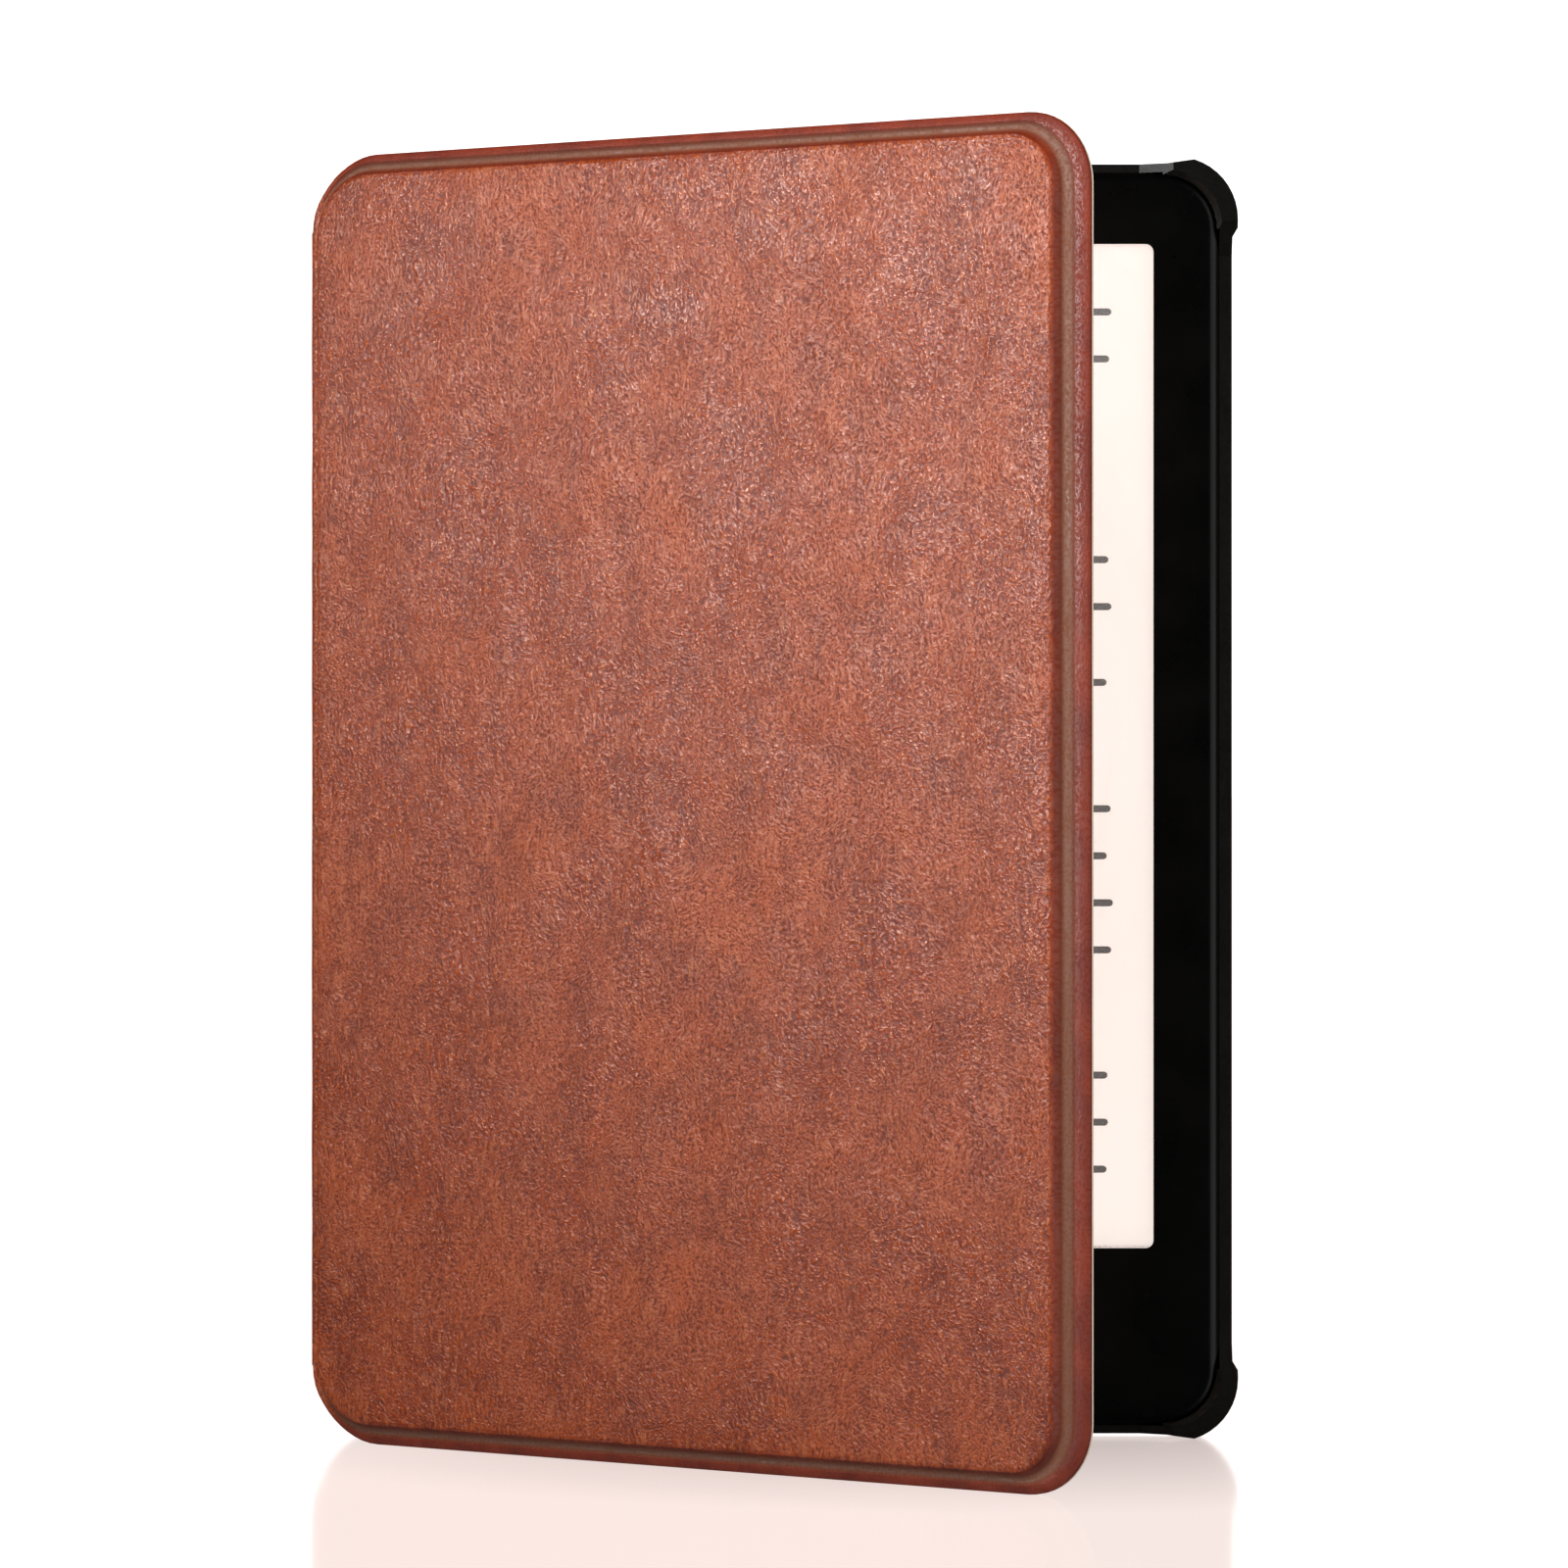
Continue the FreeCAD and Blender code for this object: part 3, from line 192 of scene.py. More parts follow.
class Sheet:
    """A closed sheet of leather or lining, built flat and then bent round one fold of the spine.
    Flat, X runs along it from the fold, Y is its height outwards and Z runs up from its middle."""

    def __init__(self, reach, tall, stretch):
        """stretch gives where a point lies on the whole folio, laid out flat in one piece."""
        self.bm = bmesh.new()
        self.flat = self.bm.verts.layers.float_vector.new("flat")
        self.finish = self.bm.verts.layers.float_vector.new("finish")
        self.reach = reach
        self.half = tall / 2
        self.stretch = stretch
        self.lengths = [STEPS_ALONG, STEPS_UP, STEPS_ALONG, STEPS_UP]

    def vertex(self, along, height, up, grain=0.0, burnish=0.0):
        """A vertex that knows its place on the whole folio, its grain and its burnish."""
        spot = Vector((self.stretch(along), up, 0))
        ripple = noise.noise(spot / WIDE_RIPPLE) + 0.4 * noise.noise(spot / SMALL_RIPPLE)
        lift = RIPPLE * ripple * grain ** 3
        vertex = self.bm.verts.new((along, height + lift, up))
        vertex[self.flat] = spot
        vertex[self.finish] = (grain, burnish, 0)
        return vertex

    def bridge(self, first, second, closed=False):
        """Faces between two lines of vertices."""
        count = len(first) if closed else len(first) - 1
        for i in range(count):
            j = (i + 1) % len(first)
            self.bm.faces.new((first[i], first[j], second[j], second[i]))

    def ring(self, row):
        """One line round the panel, anticlockwise from the fold's lower end."""
        free, end, fold, radius = (value * MM for value in row[:4])
        away_height, fold_height, grain, burnish = row[4] * MM, row[5] * MM, row[6], row[7]
        right, half = self.reach - free, self.half - end
        # By the fold the corners are as round as it takes to meet the ends of the spine.
        fold_radius = half - SPINE_HALF + 0.4 * fold if radius > 0 else 0.0
        corners = (
            (fold + fold_radius, -half + fold_radius, fold_radius, 180),
            (right - radius, -half + radius, radius, 270),
            (right - radius, half - radius, radius, 0),
            (fold + fold_radius, half - fold_radius, fold_radius, 90),
        )
        arcs = []
        for number, (x, z, r, start) in enumerate(corners):
            arc = []
            for step in range(STEPS_ROUND + 1):
                turned = step / STEPS_ROUND
                angle = math.radians(start + 90 * turned)
                # Each point keeps how much it belongs to the fold: 1 along it, 0 past its corners.
                share = {0: 1 - turned, 3: turned}.get(number, 0)
                arc.append((x + r * math.cos(angle), z + r * math.sin(angle), eased(0.2, 1, share)))
            arcs.append(arc)
        points = []
        for number, length in enumerate(self.lengths):
            last, first = arcs[number][-1], arcs[(number + 1) % 4][0]
            points += arcs[number][:-1]
            for step in range(length):
                share = step / length
                points.append([a + (b - a) * share for a, b in zip(last, first)])
        ring = []
        for x, z, by_fold in points:
            height = away_height + (fold_height - away_height) * by_fold
            shown = grain + (1 - grain) * by_fold if grain else 0.0
            ring.append(self.vertex(x, height, z, shown, burnish * (1 - by_fold)))
        return ring

    def sides(self, ring):
        """The bottom, the free edge, the top and the fold of a ring, each with both its ends."""
        sides, at = [], STEPS_ROUND
        for length in self.lengths:
            sides.append([ring[(at + i) % len(ring)] for i in range(length + 1)])
            at += length + STEPS_ROUND
        return sides

    def fill(self, ring, grain):
        """Fills a ring whose corners have no radius with a grid."""
        bottom, free, top, fold = self.sides(ring)
        fold = fold[::-1]
        rows = [bottom]
        for left, right in zip(fold[1:-1], free[1:-1]):
            row = [left]
            for vertex in bottom[1:-1]:
                row.append(self.vertex(vertex.co.x, ring[0].co.y, left.co.z, grain))
            rows.append(row + [right])
        rows.append(top[::-1])
        for lower, upper in zip(rows, rows[1:]):
            self.bridge(lower, upper)

    def side(self, table, strip):
        """One side of the sheet, panel and half spine. Returns its outline."""
        rings = [self.ring(row) for row in table]
        for outer, inner in zip(rings, rings[1:]):
            self.bridge(outer, inner, closed=True)
        self.fill(rings[-1], table[-1][6])
        fold = self.sides(rings[0])[3]
        grain = table[-1][6]
        columns = [fold]
        for across, height in strip:
            columns.append([self.vertex(-across, height, v.co.z, grain) for v in fold])
        for this, following in zip(columns, columns[1:]):
            self.bridge(this, following)
        panel_edge = rings[0][:len(rings[0]) - STEPS_UP + 1]
        top_end = [column[0] for column in columns[1:]]
        bottom_end = [column[-1] for column in columns[1:-1]]
        return panel_edge + top_end + columns[-1][1:] + bottom_end[::-1]

    def close(self, face, back):
        """Joins the outlines of the two sides with the sheet's cut edge."""
        self.bridge(face, back, closed=True)

    def bend(self, fold, along, outward, turn):
        """Moves the flat sheet to its fold and turns the part beyond the fold by turn."""
        for vertex in self.bm.verts:
            distance, height, up = vertex.co
            share = eased(-FOLD / 2, FOLD / 2, distance)
            bent = Matrix.Rotation(turn * share, 3, "Z") @ (along * distance + outward * height)
            vertex.co = fold + bent + Vector((0, 0, up))


def follow_fold(piece):
    """Bakes a sheet's placement into its mesh."""
    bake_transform(piece)


# ---------------------------------------------------------------- the folio

OUTWARD = Vector((-1, 0, 0))
TOWARD_FRONT = Vector((0, -1, 0))
TOWARD_REAR = Vector((0, 1, 0))
FRONT_TURN = math.pi / 2 - open_angle
REAR_TURN = -math.pi / 2


def spine_columns(wide):
    """The columns of a strip of the spine, wide across, that starts at a fold."""
    columns = [(across * MM, height * MM) for across, height in SPINE_FACE if across * MM < wide]
    return columns + [(wide, columns[-1][1])]


def level_columns(wide, height):
    """The same columns, all at one height."""
    return [(across, height) for across, _ in spine_columns(wide)]


# The lining's cut edge is rounded over: this share of its thickness up, and this far in, given like the
# first four values of a row.
EDGE_ROUND_UP = 0.3
EDGE_ROUND_IN = (0.12, 0.12, 0.12, 9.38)


def lowered(table, drop):
    """The same rows a thickness lower, with the edge rounded over."""
    rows = [row[:4] + (row[4] - drop, row[5] - drop) + row[6:] for row in table]
    edge_height = drop * EDGE_ROUND_UP
    first = rows[0][:4] + (rows[0][4] + edge_height, rows[0][5] + edge_height) + rows[0][6:]
    return [first, EDGE_ROUND_IN + rows[0][4:]] + rows[1:]


def front_stretch(along):
    """Where a point of the front sheet lies on the whole folio laid out flat."""
    return along


def rear_stretch(along):
    """Where a point of the rear sheet lies on it, past the spine."""
    return -spine_wide - along


def make_front_leather():
    sheet = Sheet(cover_reach, cover_tall, front_stretch)
    face = sheet.side(FRONT_FACE, spine_columns(half_spine))
    back = sheet.side(FRONT_BACK, level_columns(half_spine, -HALF_LEATHER))
    sheet.close(face, back)
    sheet.bend(cover_fold, TOWARD_FRONT, OUTWARD, FRONT_TURN)
    piece = finished_object("front_cover_leather", sheet.bm)
    follow_fold(piece)
    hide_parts("front_leather", "spine_leather")
    return piece


def make_rear_leather():
    sheet = Sheet(rear_reach, rear_tall, rear_stretch)
    face = sheet.side(REAR_FACE, spine_columns(half_spine))
    back = sheet.side(REAR_BACK, level_columns(half_spine, -HALF_LEATHER))
    sheet.close(face, back)
    sheet.bend(rear_fold, TOWARD_REAR, OUTWARD, REAR_TURN)
    piece = finished_object("rear_cover_leather", sheet.bm)
    follow_fold(piece)
    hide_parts("rear_leather")
    return piece


def make_front_lining():
    sheet = Sheet(cover_reach, cover_tall, front_stretch)
    face = sheet.side(FRONT_BACK, level_columns(LINING_SEAM, -HALF_LEATHER))
    back = sheet.side(lowered(FRONT_BACK, LINING / MM), level_columns(LINING_SEAM, -HALF_LEATHER - LINING))
    sheet.close(face, back)
    sheet.bend(cover_fold, TOWARD_FRONT, OUTWARD, FRONT_TURN)
    piece = finished_object("front_cover_lining", sheet.bm)
    follow_fold(piece)
    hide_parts("front_lining")
    return piece


def make_spine_lining():
    """The spine's lining, glued a little way under the tray."""
    sheet = Sheet(rear_reach, rear_tall, rear_stretch)
    columns = STEPS_ACROSS_LINING
    wide = spine_wide - LINING_SEAM
    sides = []
    for height in (-HALF_LEATHER, -HALF_LEATHER - LINING):
        grid = []
        for column in range(columns + 1):
            along = -wide + (wide + LINING_PAST_FOLD) * column / columns
            ups = [SPINE_HALF * (2 * step / STEPS_UP - 1) for step in range(STEPS_UP + 1)]
            grid.append([sheet.vertex(along, height, up) for up in ups])
        for this, following in zip(grid, grid[1:]):
            sheet.bridge(this, following)
        ends = [[column[end] for column in grid] for end in (0, -1)]
        sides.append(grid[0][1:-1] + ends[1] + grid[-1][1:-1][::-1] + ends[0][::-1])
    sheet.close(*sides)
    sheet.bend(rear_fold, TOWARD_REAR, OUTWARD, REAR_TURN)
    piece = finished_object("spine_hinge_lining", sheet.bm)
    follow_fold(piece)
    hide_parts("spine_lining")
    return piece


front_leather = make_front_leather()
rear_leather = make_rear_leather()
front_lining = make_front_lining()
spine_lining = make_spine_lining()

# ---------------------------------------------------------------- the page on the screen

# Lines of print are shown as plain bars, one for each word: no letters.
LINE_PITCH = 6.55 * MM
BAR_TALL = 1.0 * MM
SIDE_MARGIN = 5.4 * MM
WORD_GAP = 1.7 * MM
INK = 0.012 * MM
BAR_END_STEPS = 6
PAGE_SEED = 7
# How wide a word is, and by how much at most a full line falls short, in millimetres.
WORD_WIDE = (2.4, 10.0)
RAGGED = 1.0
# How far below the top of the screen each paragraph starts, in millimetres, how many full lines it
# has, and how much of a line is left over at its end.
PARAGRAPHS = [(9.3, 2, 0.45), (27.2, 0, 0.7), (43.8, 2, 0.0), (60.9, 1, 0.55), (78.5, 4, 0.3),
              (115.6, 3, 0.0)]


def add_bar(bm, left, right, low, high, depth):
    """A flat bar with rounded ends."""
    radius = (high - low) / 2
    middle = (high + low) / 2
    loop = []
    for centre, start in ((right - radius, -90), (left + radius, 90)):
        for step in range(BAR_END_STEPS + 1):
            angle = math.radians(start + 180 / BAR_END_STEPS * step)
            loop.append((centre + radius * math.cos(angle), middle + radius * math.sin(angle)))
    front = [bm.verts.new((x, depth, z)) for x, z in loop]
    back = [bm.verts.new((x, depth + INK, z)) for x, z in loop]
    bm.faces.new(front)
    bm.faces.new(back[::-1])
    for i in range(len(front)):
        j = (i + 1) % len(front)
        bm.faces.new((front[j], front[i], back[i], back[j]))


def make_page():
    """The page's bars. Full lines end a little unevenly, and the words fill each line's width."""
    rng = random.Random(PAGE_SEED)
    bm = bmesh.new()
    left, right = screen_low.x + SIDE_MARGIN, screen_high.x - SIDE_MARGIN
    for top, full_lines, rest in PARAGRAPHS:
        shares = [1.0] * full_lines + [rest] * (rest > 0)
        for number, share in enumerate(shares):
            middle = screen_high.z - top * MM - LINE_PITCH * number
            ragged = rng.uniform(0.0, RAGGED) * MM
            end = left + (right - left) * share - (ragged if share == 1 else 0)
            words = []
            while sum(words) + WORD_GAP * len(words) < end - left:
                words.append(rng.uniform(*WORD_WIDE) * MM)
            scale = (end - left - WORD_GAP * (len(words) - 1)) / sum(words)
            at = left
            for word in words:
                add_bar(bm, at, at + word * scale, middle - BAR_TALL / 2, middle + BAR_TALL / 2,
                        paper_face - INK)
                at += word * scale + WORD_GAP
    piece = finished_object("page_lines", bm)
    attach(piece, "reader_case")
    return piece


page_lines = make_page()

# ---------------------------------------------------------------- materials


class Look:
    """A procedural material in the making: each call adds a node and returns its output."""

    def __init__(self, name, **constants):
        """constants are the shader's own values, named as its sockets with _ for a space."""
        self.material = bpy.data.materials.new(name)
        self.material.use_nodes = True
        self.nodes = self.material.node_tree.nodes
        self.links = self.material.node_tree.links
        self.shader = self.nodes["Principled BSDF"]
        for socket, value in constants.items():
            self.shader.inputs[socket.replace("_", " ")].default_value = value

    def add(self, kind, inputs, output=0, **settings):
        """A node of this kind. inputs holds sockets to link from, or constant values."""
        node = self.nodes.new(kind)
        for setting, value in settings.items():
            setattr(node, setting, value)
        for socket, value in inputs.items():
            if isinstance(value, bpy.types.NodeSocket):
                self.links.new(value, node.inputs[socket])
            else:
                node.inputs[socket].default_value = value
        return node.outputs[output]

    def wire(self, socket, value):
        """Links an output to the shader."""
        self.links.new(value, self.shader.inputs[socket])

    def flat(self):
        """Where a point lies on the sheet laid out flat, in millimetres."""
        place = self.add("ShaderNodeAttribute", {}, "Vector", attribute_name="flat")
        return self.stretched(place, (1000, 1000, 1000))

    def solid(self):
        """Where a point lies on a solid, in millimetres."""
        place = self.add("ShaderNodeTexCoord", {}, "Object")
        return self.stretched(place, (1000, 1000, 1000))

    def stretched(self, vector, scale, turn=0):
        """The vector turned by turn degrees and scaled."""
        return self.add("ShaderNodeMapping", {"Vector": vector, "Scale": scale,
                                              "Rotation": (0, 0, math.radians(turn))})

    def noise(self, vector, size, detail=2.0, rough=0.5, distortion=0.0):
        """Noise whose lumps are about size millimetres, from 0 to 1."""
        return self.add("ShaderNodeTexNoise", {"Vector": vector, "Scale": 1 / size, "Detail": detail,
                                               "Roughness": rough, "Distortion": distortion}, "Fac")

    def wobbled(self, vector, size, amount):
        """The vector moved about by noise, by up to about amount millimetres."""
        shift = self.add("ShaderNodeTexNoise", {"Vector": vector, "Scale": 1 / size, "Detail": 2.0},
                         "Color")
        centred = self.add("ShaderNodeVectorMath", {0: shift, 1: (0.5, 0.5, 0.5)}, operation="SUBTRACT")
        scaled = self.add("ShaderNodeVectorMath", {0: centred, "Scale": amount * 2}, operation="SCALE")
        return self.add("ShaderNodeVectorMath", {0: vector, 1: scaled}, operation="ADD")

    def cell_edges(self, vector, size):
        """How far a point is from the edge of its cell, where cells are about size millimetres."""
        return self.add("ShaderNodeTexVoronoi", {"Vector": vector, "Scale": 1 / size, "Randomness": 1.0},
                        "Distance", feature="DISTANCE_TO_EDGE")

    def between(self, value, low, high, first=0.0, last=1.0):
        """first where value is at low or less, last where it is at high or more, eased between."""
        return self.add("ShaderNodeMapRange", {"Value": value, "From Min": low, "From Max": high,
                                               "To Min": first, "To Max": last},
                        interpolation_type="SMOOTHSTEP")

    def sum(self, first, second):
        return self.add("ShaderNodeMath", {0: first, 1: second}, operation="ADD")

    def times(self, first, second):
        return self.add("ShaderNodeMath", {0: first, 1: second}, operation="MULTIPLY")

    def mixed(self, share, first, second):
        """A colour between two colours."""
        node = self.nodes.new("ShaderNodeMix")
        node.data_type = "RGBA"
        for socket, value in ((0, share), (6, first), (7, second)):
            if isinstance(value, bpy.types.NodeSocket):
                self.links.new(value, node.inputs[socket])
            else:
                node.inputs[socket].default_value = value
        return node.outputs[2]

    def bumped(self, height, depth, strength=1.0):
        """Bump from a height of 0 to 1, where 1 stands depth millimetres proud."""
        inputs = {"Height": height, "Distance": depth * MM, "Strength": strength}
        self.wire("Normal", self.add("ShaderNodeBump", inputs))


def shade(red, green, blue):
    """A colour for a shader, from its display values of 0 to 255."""
    return tuple((value / 255) ** 2.2 for value in (red, green, blue)) + (1.0,)


# The streaks of the leather's grain: how they are drawn out, and their two leans in degrees. Then the
# height of its grain in millimetres.
STREAK_STRETCH = (1.0, 0.22, 1)
STREAK_LEANS = (10, -52)
GRAIN_DEPTH = 0.23


def leather_look():
    """Pull-up leather: fine lumps crossed by streaks that lean one way in some places and another way in
    others, with painted shade between the lumps and a painted highlight on their tops and along the
    streaks, and cloudy colour. The grain and burnish of each vertex make the pressed edges smoother and
    darker."""
    look = Look("pull_up_leather", Specular_IOR_Level=0.85)
    flat = look.flat()
    finish = look.add("ShaderNodeAttribute", {}, "Vector", attribute_name="finish")
    parts = look.nodes.new("ShaderNodeSeparateXYZ")
    look.links.new(finish, parts.inputs[0])
    grain, burnish = parts.outputs[0], parts.outputs[1]

    drifting = look.wobbled(look.wobbled(flat, 14, 2.5), 0.8, 0.2)
    zones = look.noise(flat, 24, 2.0, 0.4)
    steep, slanted = [look.noise(look.stretched(drifting, STREAK_STRETCH, lean), 0.5, 2.0, 0.5)
                      for lean in STREAK_LEANS]
    streaks = look.add("ShaderNodeMix", {0: look.between(zones, 0.44, 0.56), 2: steep, 3: slanted})
    lumps = look.noise(look.stretched(drifting, (1.0, 0.8, 1), STREAK_LEANS[0]), 0.36, 1.5, 0.5)
    folds = look.between(look.noise(flat, 9, 3.0, 0.55), 0.4, 0.62, 0.3, 1.0)
    pores = look.noise(flat, 0.2, 2.0, 0.6)
    height = look.sum(lumps, look.times(look.times(streaks, folds), 0.9))
    height = look.times(look.sum(height, look.times(pores, 0.1)), grain)
    height = look.sum(height, look.times(pores, 0.06))

    clouds = look.noise(flat, 26, 4.0, 0.6, 0.3)
    mottle = look.noise(look.stretched(drifting, (1.0, 0.6, 1.0), 20), 6, 4.0, 0.62, 0.4)
    body = look.mixed(look.between(clouds, 0.35, 0.66), shade(126, 49, 11), shade(144, 62, 18))
    body = look.mixed(look.between(mottle, 0.38, 0.72, 0.0, 0.7), body, shade(102, 37, 10))
    # Painted shade: the pits between the lumps are darker.
    body = look.mixed(look.between(lumps, 0.34, 0.5, 0.8, 0.0), body, shade(84, 25, 4))
    # Painted highlight: the tops of the lumps are paler.
    body = look.mixed(look.between(lumps, 0.52, 0.7, 0.0, 0.5), body, shade(164, 90, 54))
    # Painted highlight along the ridges of the streaks.
    body = look.mixed(look.between(streaks, 0.5, 0.66, 0.0, 0.4), body, shade(172, 98, 60))
    edge = look.mixed(look.between(mottle, 0.3, 0.7), shade(116, 40, 9), shade(94, 28, 5))
    body = look.mixed(look.between(grain, 0.25, 0.95), edge, body)
    body = look.mixed(burnish, body, shade(104, 62, 42))
    look.wire("Base Color", body)

    rough = look.between(lumps, 0.34, 0.6, 0.6, 0.26)
    rough = look.sum(rough, look.between(clouds, 0.3, 0.7, -0.03, 0.06))
    rough = look.sum(rough, look.between(grain, 0.3, 0.9, 0.2, 0.0))
    look.wire("Roughness", look.sum(rough, look.times(burnish, 0.1)))
    look.bumped(height, GRAIN_DEPTH)
    return look.material


def lining_look():
    """Cream microfibre: a short nap with faint brushed clouds."""
    look = Look("microfibre_lining", Roughness=0.92, Sheen_Weight=0.35, Sheen_Roughness=0.5,
                Specular_IOR_Level=0.2)
    flat = look.flat()
    clouds = look.noise(flat, 14, 4.0, 0.6, 0.6)
    nap = look.noise(flat, 0.28, 3.0, 0.7)
    body = look.mixed(look.between(clouds, 0.3, 0.7), shade(186, 169, 152), shade(200, 184, 167))
    nap_share = look.between(nap, 0.3, 0.75, 0.0, 0.3)
    look.wire("Base Color", look.mixed(nap_share, body, shade(164, 146, 129)))
    look.bumped(nap, 0.06, 0.7)
    return look.material


def moulded_look(name, colour, rough, texture=0.12, depth=0.01, wear=0.03, **constants):
    """Moulded plastic: a spark-eroded texture, with roughness that drifts over the surface. texture and
    depth are the texture's size and height in millimetres, wear how much rougher the smudges are."""
    look = Look(name, Base_Color=shade(*colour), **constants)
    solid = look.solid()
    grain = look.noise(solid, texture, 3.0, 0.6)
    drift = look.noise(solid, 9, 3.0, 0.6)
    smudges = look.between(look.noise(solid, 18, 4.0, 0.65, 0.4), 0.35, 0.75, 0.0, wear)
    drifted = look.between(drift, 0.3, 0.7, rough - 0.04, rough + 0.04)
    look.wire("Roughness", look.sum(drifted, smudges))
    lighter = tuple(min(255, value + 9) for value in colour)
    tone = look.mixed(look.between(grain, 0.35, 0.7), shade(*colour), shade(*lighter))
    look.wire("Base Color", tone)
    look.bumped(grain, depth, 0.8)
    return look.material


def metal_look(name, colour, rough, direction=(1, 1, 1)):
    """Rolled or plated metal with fine drawn lines."""
    look = Look(name, Metallic=1.0)
    solid = look.solid()
    lines = look.noise(look.stretched(solid, direction), 0.4, 3.0, 0.7)
    tarnish = look.noise(solid, 6, 3.0, 0.6)
    darker = tuple(value * 0.82 for value in colour)
    tone = look.mixed(look.between(tarnish, 0.35, 0.7), shade(*colour), shade(*darker))
    look.wire("Base Color", tone)
    look.wire("Roughness", look.between(lines, 0.25, 0.75, rough - 0.08, rough + 0.1))
    look.bumped(lines, 0.006, 0.6)
    return look.material


def clear_look(name, alpha, rough):
    """A clear layer over the page, with a faint trace of handling in its gloss."""
    look = Look(name, Base_Color=shade(255, 255, 255), Alpha=alpha, Specular_IOR_Level=0.3)
    smudges = look.noise(look.solid(), 16, 4.0, 0.6, 0.5)
    look.wire("Roughness", look.between(smudges, 0.35, 0.7, rough, rough + 0.05))
    return look.material


def paper_look():
    """The page: warm white, lit from the edge, with the fine tooth of e-paper."""
    look = Look("epaper_page", Roughness=0.8, Emission_Strength=0.85)
    tooth = look.noise(look.solid(), 0.2, 2.0, 0.6)
    clouds = look.noise(look.solid(), 40, 2.0)
    page = look.mixed(look.between(clouds, 0.3, 0.7), shade(252, 239, 231), shade(250, 235, 226))
    page = look.mixed(look.between(tooth, 0.3, 0.8, 0.0, 0.1), page, shade(232, 220, 210))
    look.wire("Base Color", page)
    look.wire("Emission Color", page)
    return look.material


def ink_look():
    """Dark grey e-ink, a little uneven."""
    look = Look("page_ink", Roughness=0.85)
    tooth = look.noise(look.solid(), 0.15, 2.0, 0.6)
    ink = look.mixed(look.between(tooth, 0.3, 0.7), shade(58, 50, 46), shade(82, 72, 66))
    look.wire("Base Color", ink)
    return look.material


def board_look():
    """Grey board: short pressed fibres."""
    look = Look("pressed_board", Roughness=0.95)
    fibres = look.noise(look.stretched(look.solid(), (1, 1, 0.25)), 0.5, 4.0, 0.7)
    tone = look.mixed(look.between(fibres, 0.3, 0.7), shade(140, 130, 118), shade(104, 96, 86))
    look.wire("Base Color", tone)
    look.bumped(fibres, 0.03)
    return look.material


def circuit_look():
    """Green solder mask over copper tracks."""
    look = Look("solder_mask", Roughness=0.35, Coat_Weight=0.4)
    solid = look.solid()
    tracks = look.add("ShaderNodeTexVoronoi", {"Vector": solid, "Scale": 0.45}, "Distance",
                      feature="F1", distance="MANHATTAN")
    bands = look.add("ShaderNodeMath", {0: look.times(tracks, 9.0)}, operation="FRACT")
    lines = look.between(bands, 0.42, 0.5)
    look.wire("Base Color", look.mixed(lines, shade(14, 62, 38), shade(30, 92, 52)))
    look.bumped(lines, 0.02)
    return look.material


def flex_look():
    """Amber polyimide film with parallel conductors."""
    look = Look("polyimide_flex", Roughness=0.3, Coat_Weight=0.3)
    conductors = look.add("ShaderNodeTexWave", {"Vector": look.solid(), "Scale": 0.6, "Distortion": 0.0},
                          "Fac", bands_direction="X")
    lines = look.between(conductors, 0.45, 0.6)
    look.wire("Base Color", look.mixed(lines, shade(150, 84, 26), shade(196, 128, 52)))
    look.bumped(lines, 0.02)
    return look.material


def foil_look():
    """A pouch cell's crinkled silver foil."""
    look = Look("cell_foil", Metallic=0.85)
    solid = look.solid()
    crinkle = look.cell_edges(look.wobbled(solid, 4, 1.5), 6)
    clouds = look.noise(solid, 12, 3.0)
    tone = look.mixed(look.between(clouds, 0.3, 0.7), shade(176, 178, 182), shade(148, 150, 156))
    look.wire("Base Color", tone)
    look.wire("Roughness", look.between(crinkle, 0.0, 0.3, 0.42, 0.3))
    look.bumped(look.between(crinkle, 0.0, 0.12), 0.08)
    return look.material


LOOKS = {
    "housing_plastic": moulded_look("housing_matte_black", (24, 24, 25), 0.5),
    "bezel_plastic": moulded_look("bezel_satin_black", (4, 4, 4), 0.3, 0.1, 0.004, 0.02,
                                 Specular_IOR_Level=0.25),
    "tray_plastic": moulded_look("tray_grained_black", (12, 12, 11), 0.4, 0.35, 0.014,
                                 Specular_IOR_Level=0.3),
    "button_plastic": moulded_look("button_gloss_black", (16, 16, 17), 0.26, 0.2, 0.003),
    "light_pipe": moulded_look("light_pipe_milky", (226, 226, 220), 0.3, 0.3, 0.002,
                               Transmission_Weight=0.35),
    "gasket_rubber": moulded_look("gasket_rubber_black", (30, 30, 31), 0.8, 0.25, 0.02),
    "screen_lens": clear_look("lens_clear", 0.05, 0.22),
    "screen_film": clear_look("film_clear", 0.03, 0.3),
    "epaper": paper_look(),
    "frame_metal": metal_look("frame_magnesium", (132, 134, 138), 0.5),
    "steel": metal_look("steel_brushed", (176, 176, 178), 0.3, (0.15, 1, 1)),
    "magnet": metal_look("magnet_nickel", (190, 188, 182), 0.22),
    "circuit_board": circuit_look(),
    "chip": moulded_look("chip_epoxy", (34, 34, 36), 0.6, 0.15, 0.01),
    "flex": flex_look(),
    "battery_foil": foil_look(),
    "leather": leather_look(),
    "lining": lining_look(),
    "board": board_look(),
}

for node in frame["nodes"].values():
    for material_slot in node.material_slots:
        material_slot.material = LOOKS[material_slot.material.name]

for piece, look_name in ((front_leather, "leather"), (rear_leather, "leather"),
                         (front_lining, "lining"), (spine_lining, "lining")):
    piece.data.materials.append(LOOKS[look_name])
page_lines.data.materials.append(ink_look())

# ---------------------------------------------------------------- floor, light and camera

FLOOR_HALF = 12
FLOOR_COLOUR = (1.0, 0.865, 0.825, 1.0)
FLOOR_GLOW = 1.25
FLOOR_ROUGH = 0.12
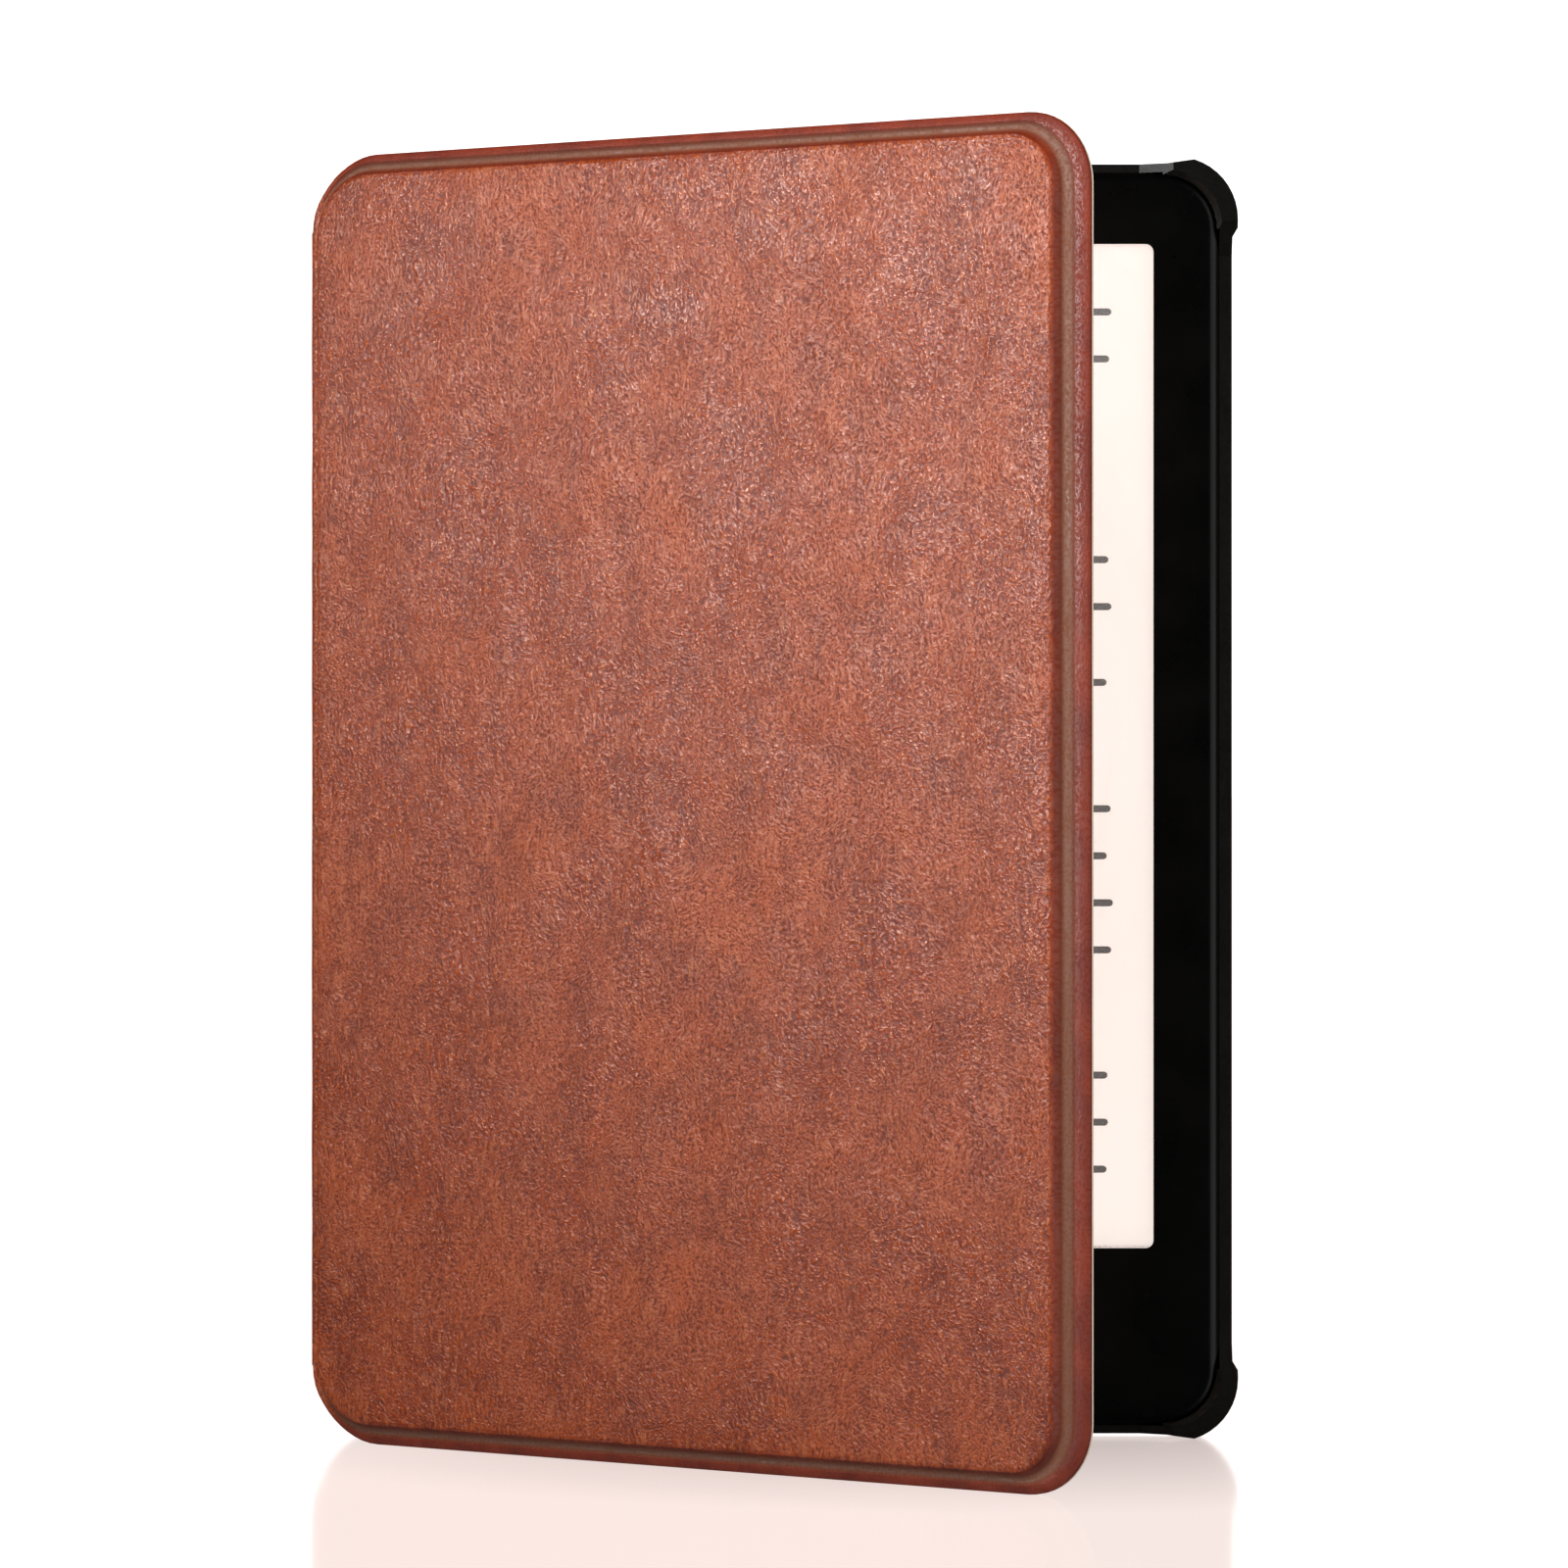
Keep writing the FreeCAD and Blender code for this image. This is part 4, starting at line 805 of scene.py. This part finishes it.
# The share of gloss over glow falls with the distance from a point on the floor, in metres. Near that
# point the glow is dimmed, a painted shadow round the tray's foot, and the gloss there shows real
# reflections.
SHADOW_AND_GLOSS_MIDDLE = (0.03, 0.05, 0.0)
SHADOW_AND_GLOSS_SHARE = {"From Min": 0.03, "From Max": 0.11, "To Min": 0.52, "To Max": 0.26}
# The world's strength as a light, from how much a direction points backwards.
BACKLIGHT = {"From Min": 0.9, "From Max": 0.97, "To Min": 0.02, "To Max": 1.5}


def make_floor():
    """A pale table top that shines by itself, glossiest near the tray's foot, where its glow is dimmed as
    a painted shadow.
    """
    bm = bmesh.new()
    bmesh.ops.create_grid(bm, x_segments=4, y_segments=4, size=FLOOR_HALF)
    floor = finished_object("floor", bm)
    material = bpy.data.materials.new("floor_white")
    material.use_nodes = True
    nodes, links = material.node_tree.nodes, material.node_tree.links
    nodes.remove(nodes["Principled BSDF"])
    glow = nodes.new("ShaderNodeEmission")
    glow.inputs["Color"].default_value = FLOOR_COLOUR
    glow.inputs["Strength"].default_value = FLOOR_GLOW
    gloss = nodes.new("ShaderNodeBsdfGlossy")
    gloss.inputs["Roughness"].default_value = FLOOR_ROUGH
    place = nodes.new("ShaderNodeTexCoord")
    distance = nodes.new("ShaderNodeVectorMath")
    distance.operation = "DISTANCE"
    distance.inputs[1].default_value = SHADOW_AND_GLOSS_MIDDLE
    # Painted shadow: near the tray's foot the floor glows less and shines more.
    share = nodes.new("ShaderNodeMapRange")
    for socket, value in SHADOW_AND_GLOSS_SHARE.items():
        share.inputs[socket].default_value = value
    both = nodes.new("ShaderNodeMixShader")
    links.new(place.outputs["Object"], distance.inputs[0])
    links.new(distance.outputs["Value"], share.inputs["Value"])
    links.new(share.outputs[0], both.inputs["Fac"])
    links.new(glow.outputs[0], both.inputs[1])
    links.new(gloss.outputs[0], both.inputs[2])
    links.new(both.outputs[0], nodes["Material Output"].inputs["Surface"])
    floor.data.materials.append(material)
    floor.visible_glossy = False
    return floor


def floor_left_out(floor):
    """The floor shines by itself, so the softboxes leave it out and don't show in it."""
    left_out = bpy.data.collections.new("not_lit_by_softboxes")
    left_out.objects.link(floor)
    left_out.collection_objects[0].light_linking.link_state = "EXCLUDE"
    for thing in bpy.context.scene.objects:
        if thing.type == "LIGHT":
            thing.light_linking.receiver_collection = left_out


def make_world():
    """White to the camera. As a light it is bright only straight behind the object."""
    world = bpy.data.worlds.new("studio")
    bpy.context.scene.world = world
    world.use_nodes = True
    nodes, links = world.node_tree.nodes, world.node_tree.links
    background = nodes["Background"]
    place = nodes.new("ShaderNodeTexCoord")
    parts = nodes.new("ShaderNodeSeparateXYZ")
    strength = nodes.new("ShaderNodeMapRange")
    for socket, value in BACKLIGHT.items():
        strength.inputs[socket].default_value = value
    rays = nodes.new("ShaderNodeLightPath")
    seen = nodes.new("ShaderNodeMath")
    seen.operation = "MAXIMUM"
    links.new(place.outputs["Generated"], parts.inputs[0])
    links.new(parts.outputs["Y"], strength.inputs["Value"])
    links.new(strength.outputs[0], seen.inputs[0])
    links.new(rays.outputs["Is Camera Ray"], seen.inputs[1])
    links.new(seen.outputs[0], background.inputs["Strength"])
    background.inputs["Color"].default_value = (1.0, 1.0, 1.0, 1.0)


def add_softbox(name, place, target, size, power, spread=180, reflected=True):
    """A soft light at place, aimed at target. A grid over it narrows its beam to spread degrees."""
    data = bpy.data.lights.new(name, "AREA")
    data.spread = math.radians(spread)
    data.shape = "RECTANGLE"
    data.size, data.size_y = size
    data.energy = power
    light = bpy.data.objects.new(name, data)
    light.location = place
    light.visible_camera = False
    light.visible_glossy = reflected
    light.rotation_euler = (Vector(target) - Vector(place)).to_track_quat("-Z", "Y").to_euler()
    bpy.context.scene.collection.objects.link(light)


def add_camera():
    """A level camera in front of the folio, with a long lens."""
    data = bpy.data.cameras.new("camera")
    data.lens = 157.7
    data.sensor_width = 36.0
    data.shift_y = -0.0244
    data.clip_end = 30
    camera = bpy.data.objects.new("camera", data)
    camera.location = (1.25 * MM, -921.4 * MM, 96.3 * MM)
    camera.rotation_euler = (math.pi / 2, 0, 0)
    bpy.context.scene.collection.objects.link(camera)
    bpy.context.scene.camera = camera


floor = make_floor()
make_world()
add_softbox("key", (-0.6, -0.34, 0.26), (0.09, -0.06, 0.2), (0.24, 0.24), 0.31, 42)
add_softbox("fill", (-0.1, -0.8, 0.8), (0.0, 0.0, 0.1), (0.7, 0.7), 12.5, reflected=False)
add_softbox("rim", (0.5, -0.25, 0.1), (0.05, 0.03, 0.09), (0.7, 0.7), 1.6)
add_softbox("back", (0.2, 0.9, 0.9), (0.0, 0.0, 0.09), (0.8, 0.8), 16.0, reflected=False)
floor_left_out(floor)
add_camera()
bpy.context.scene.view_settings.view_transform = "Standard"
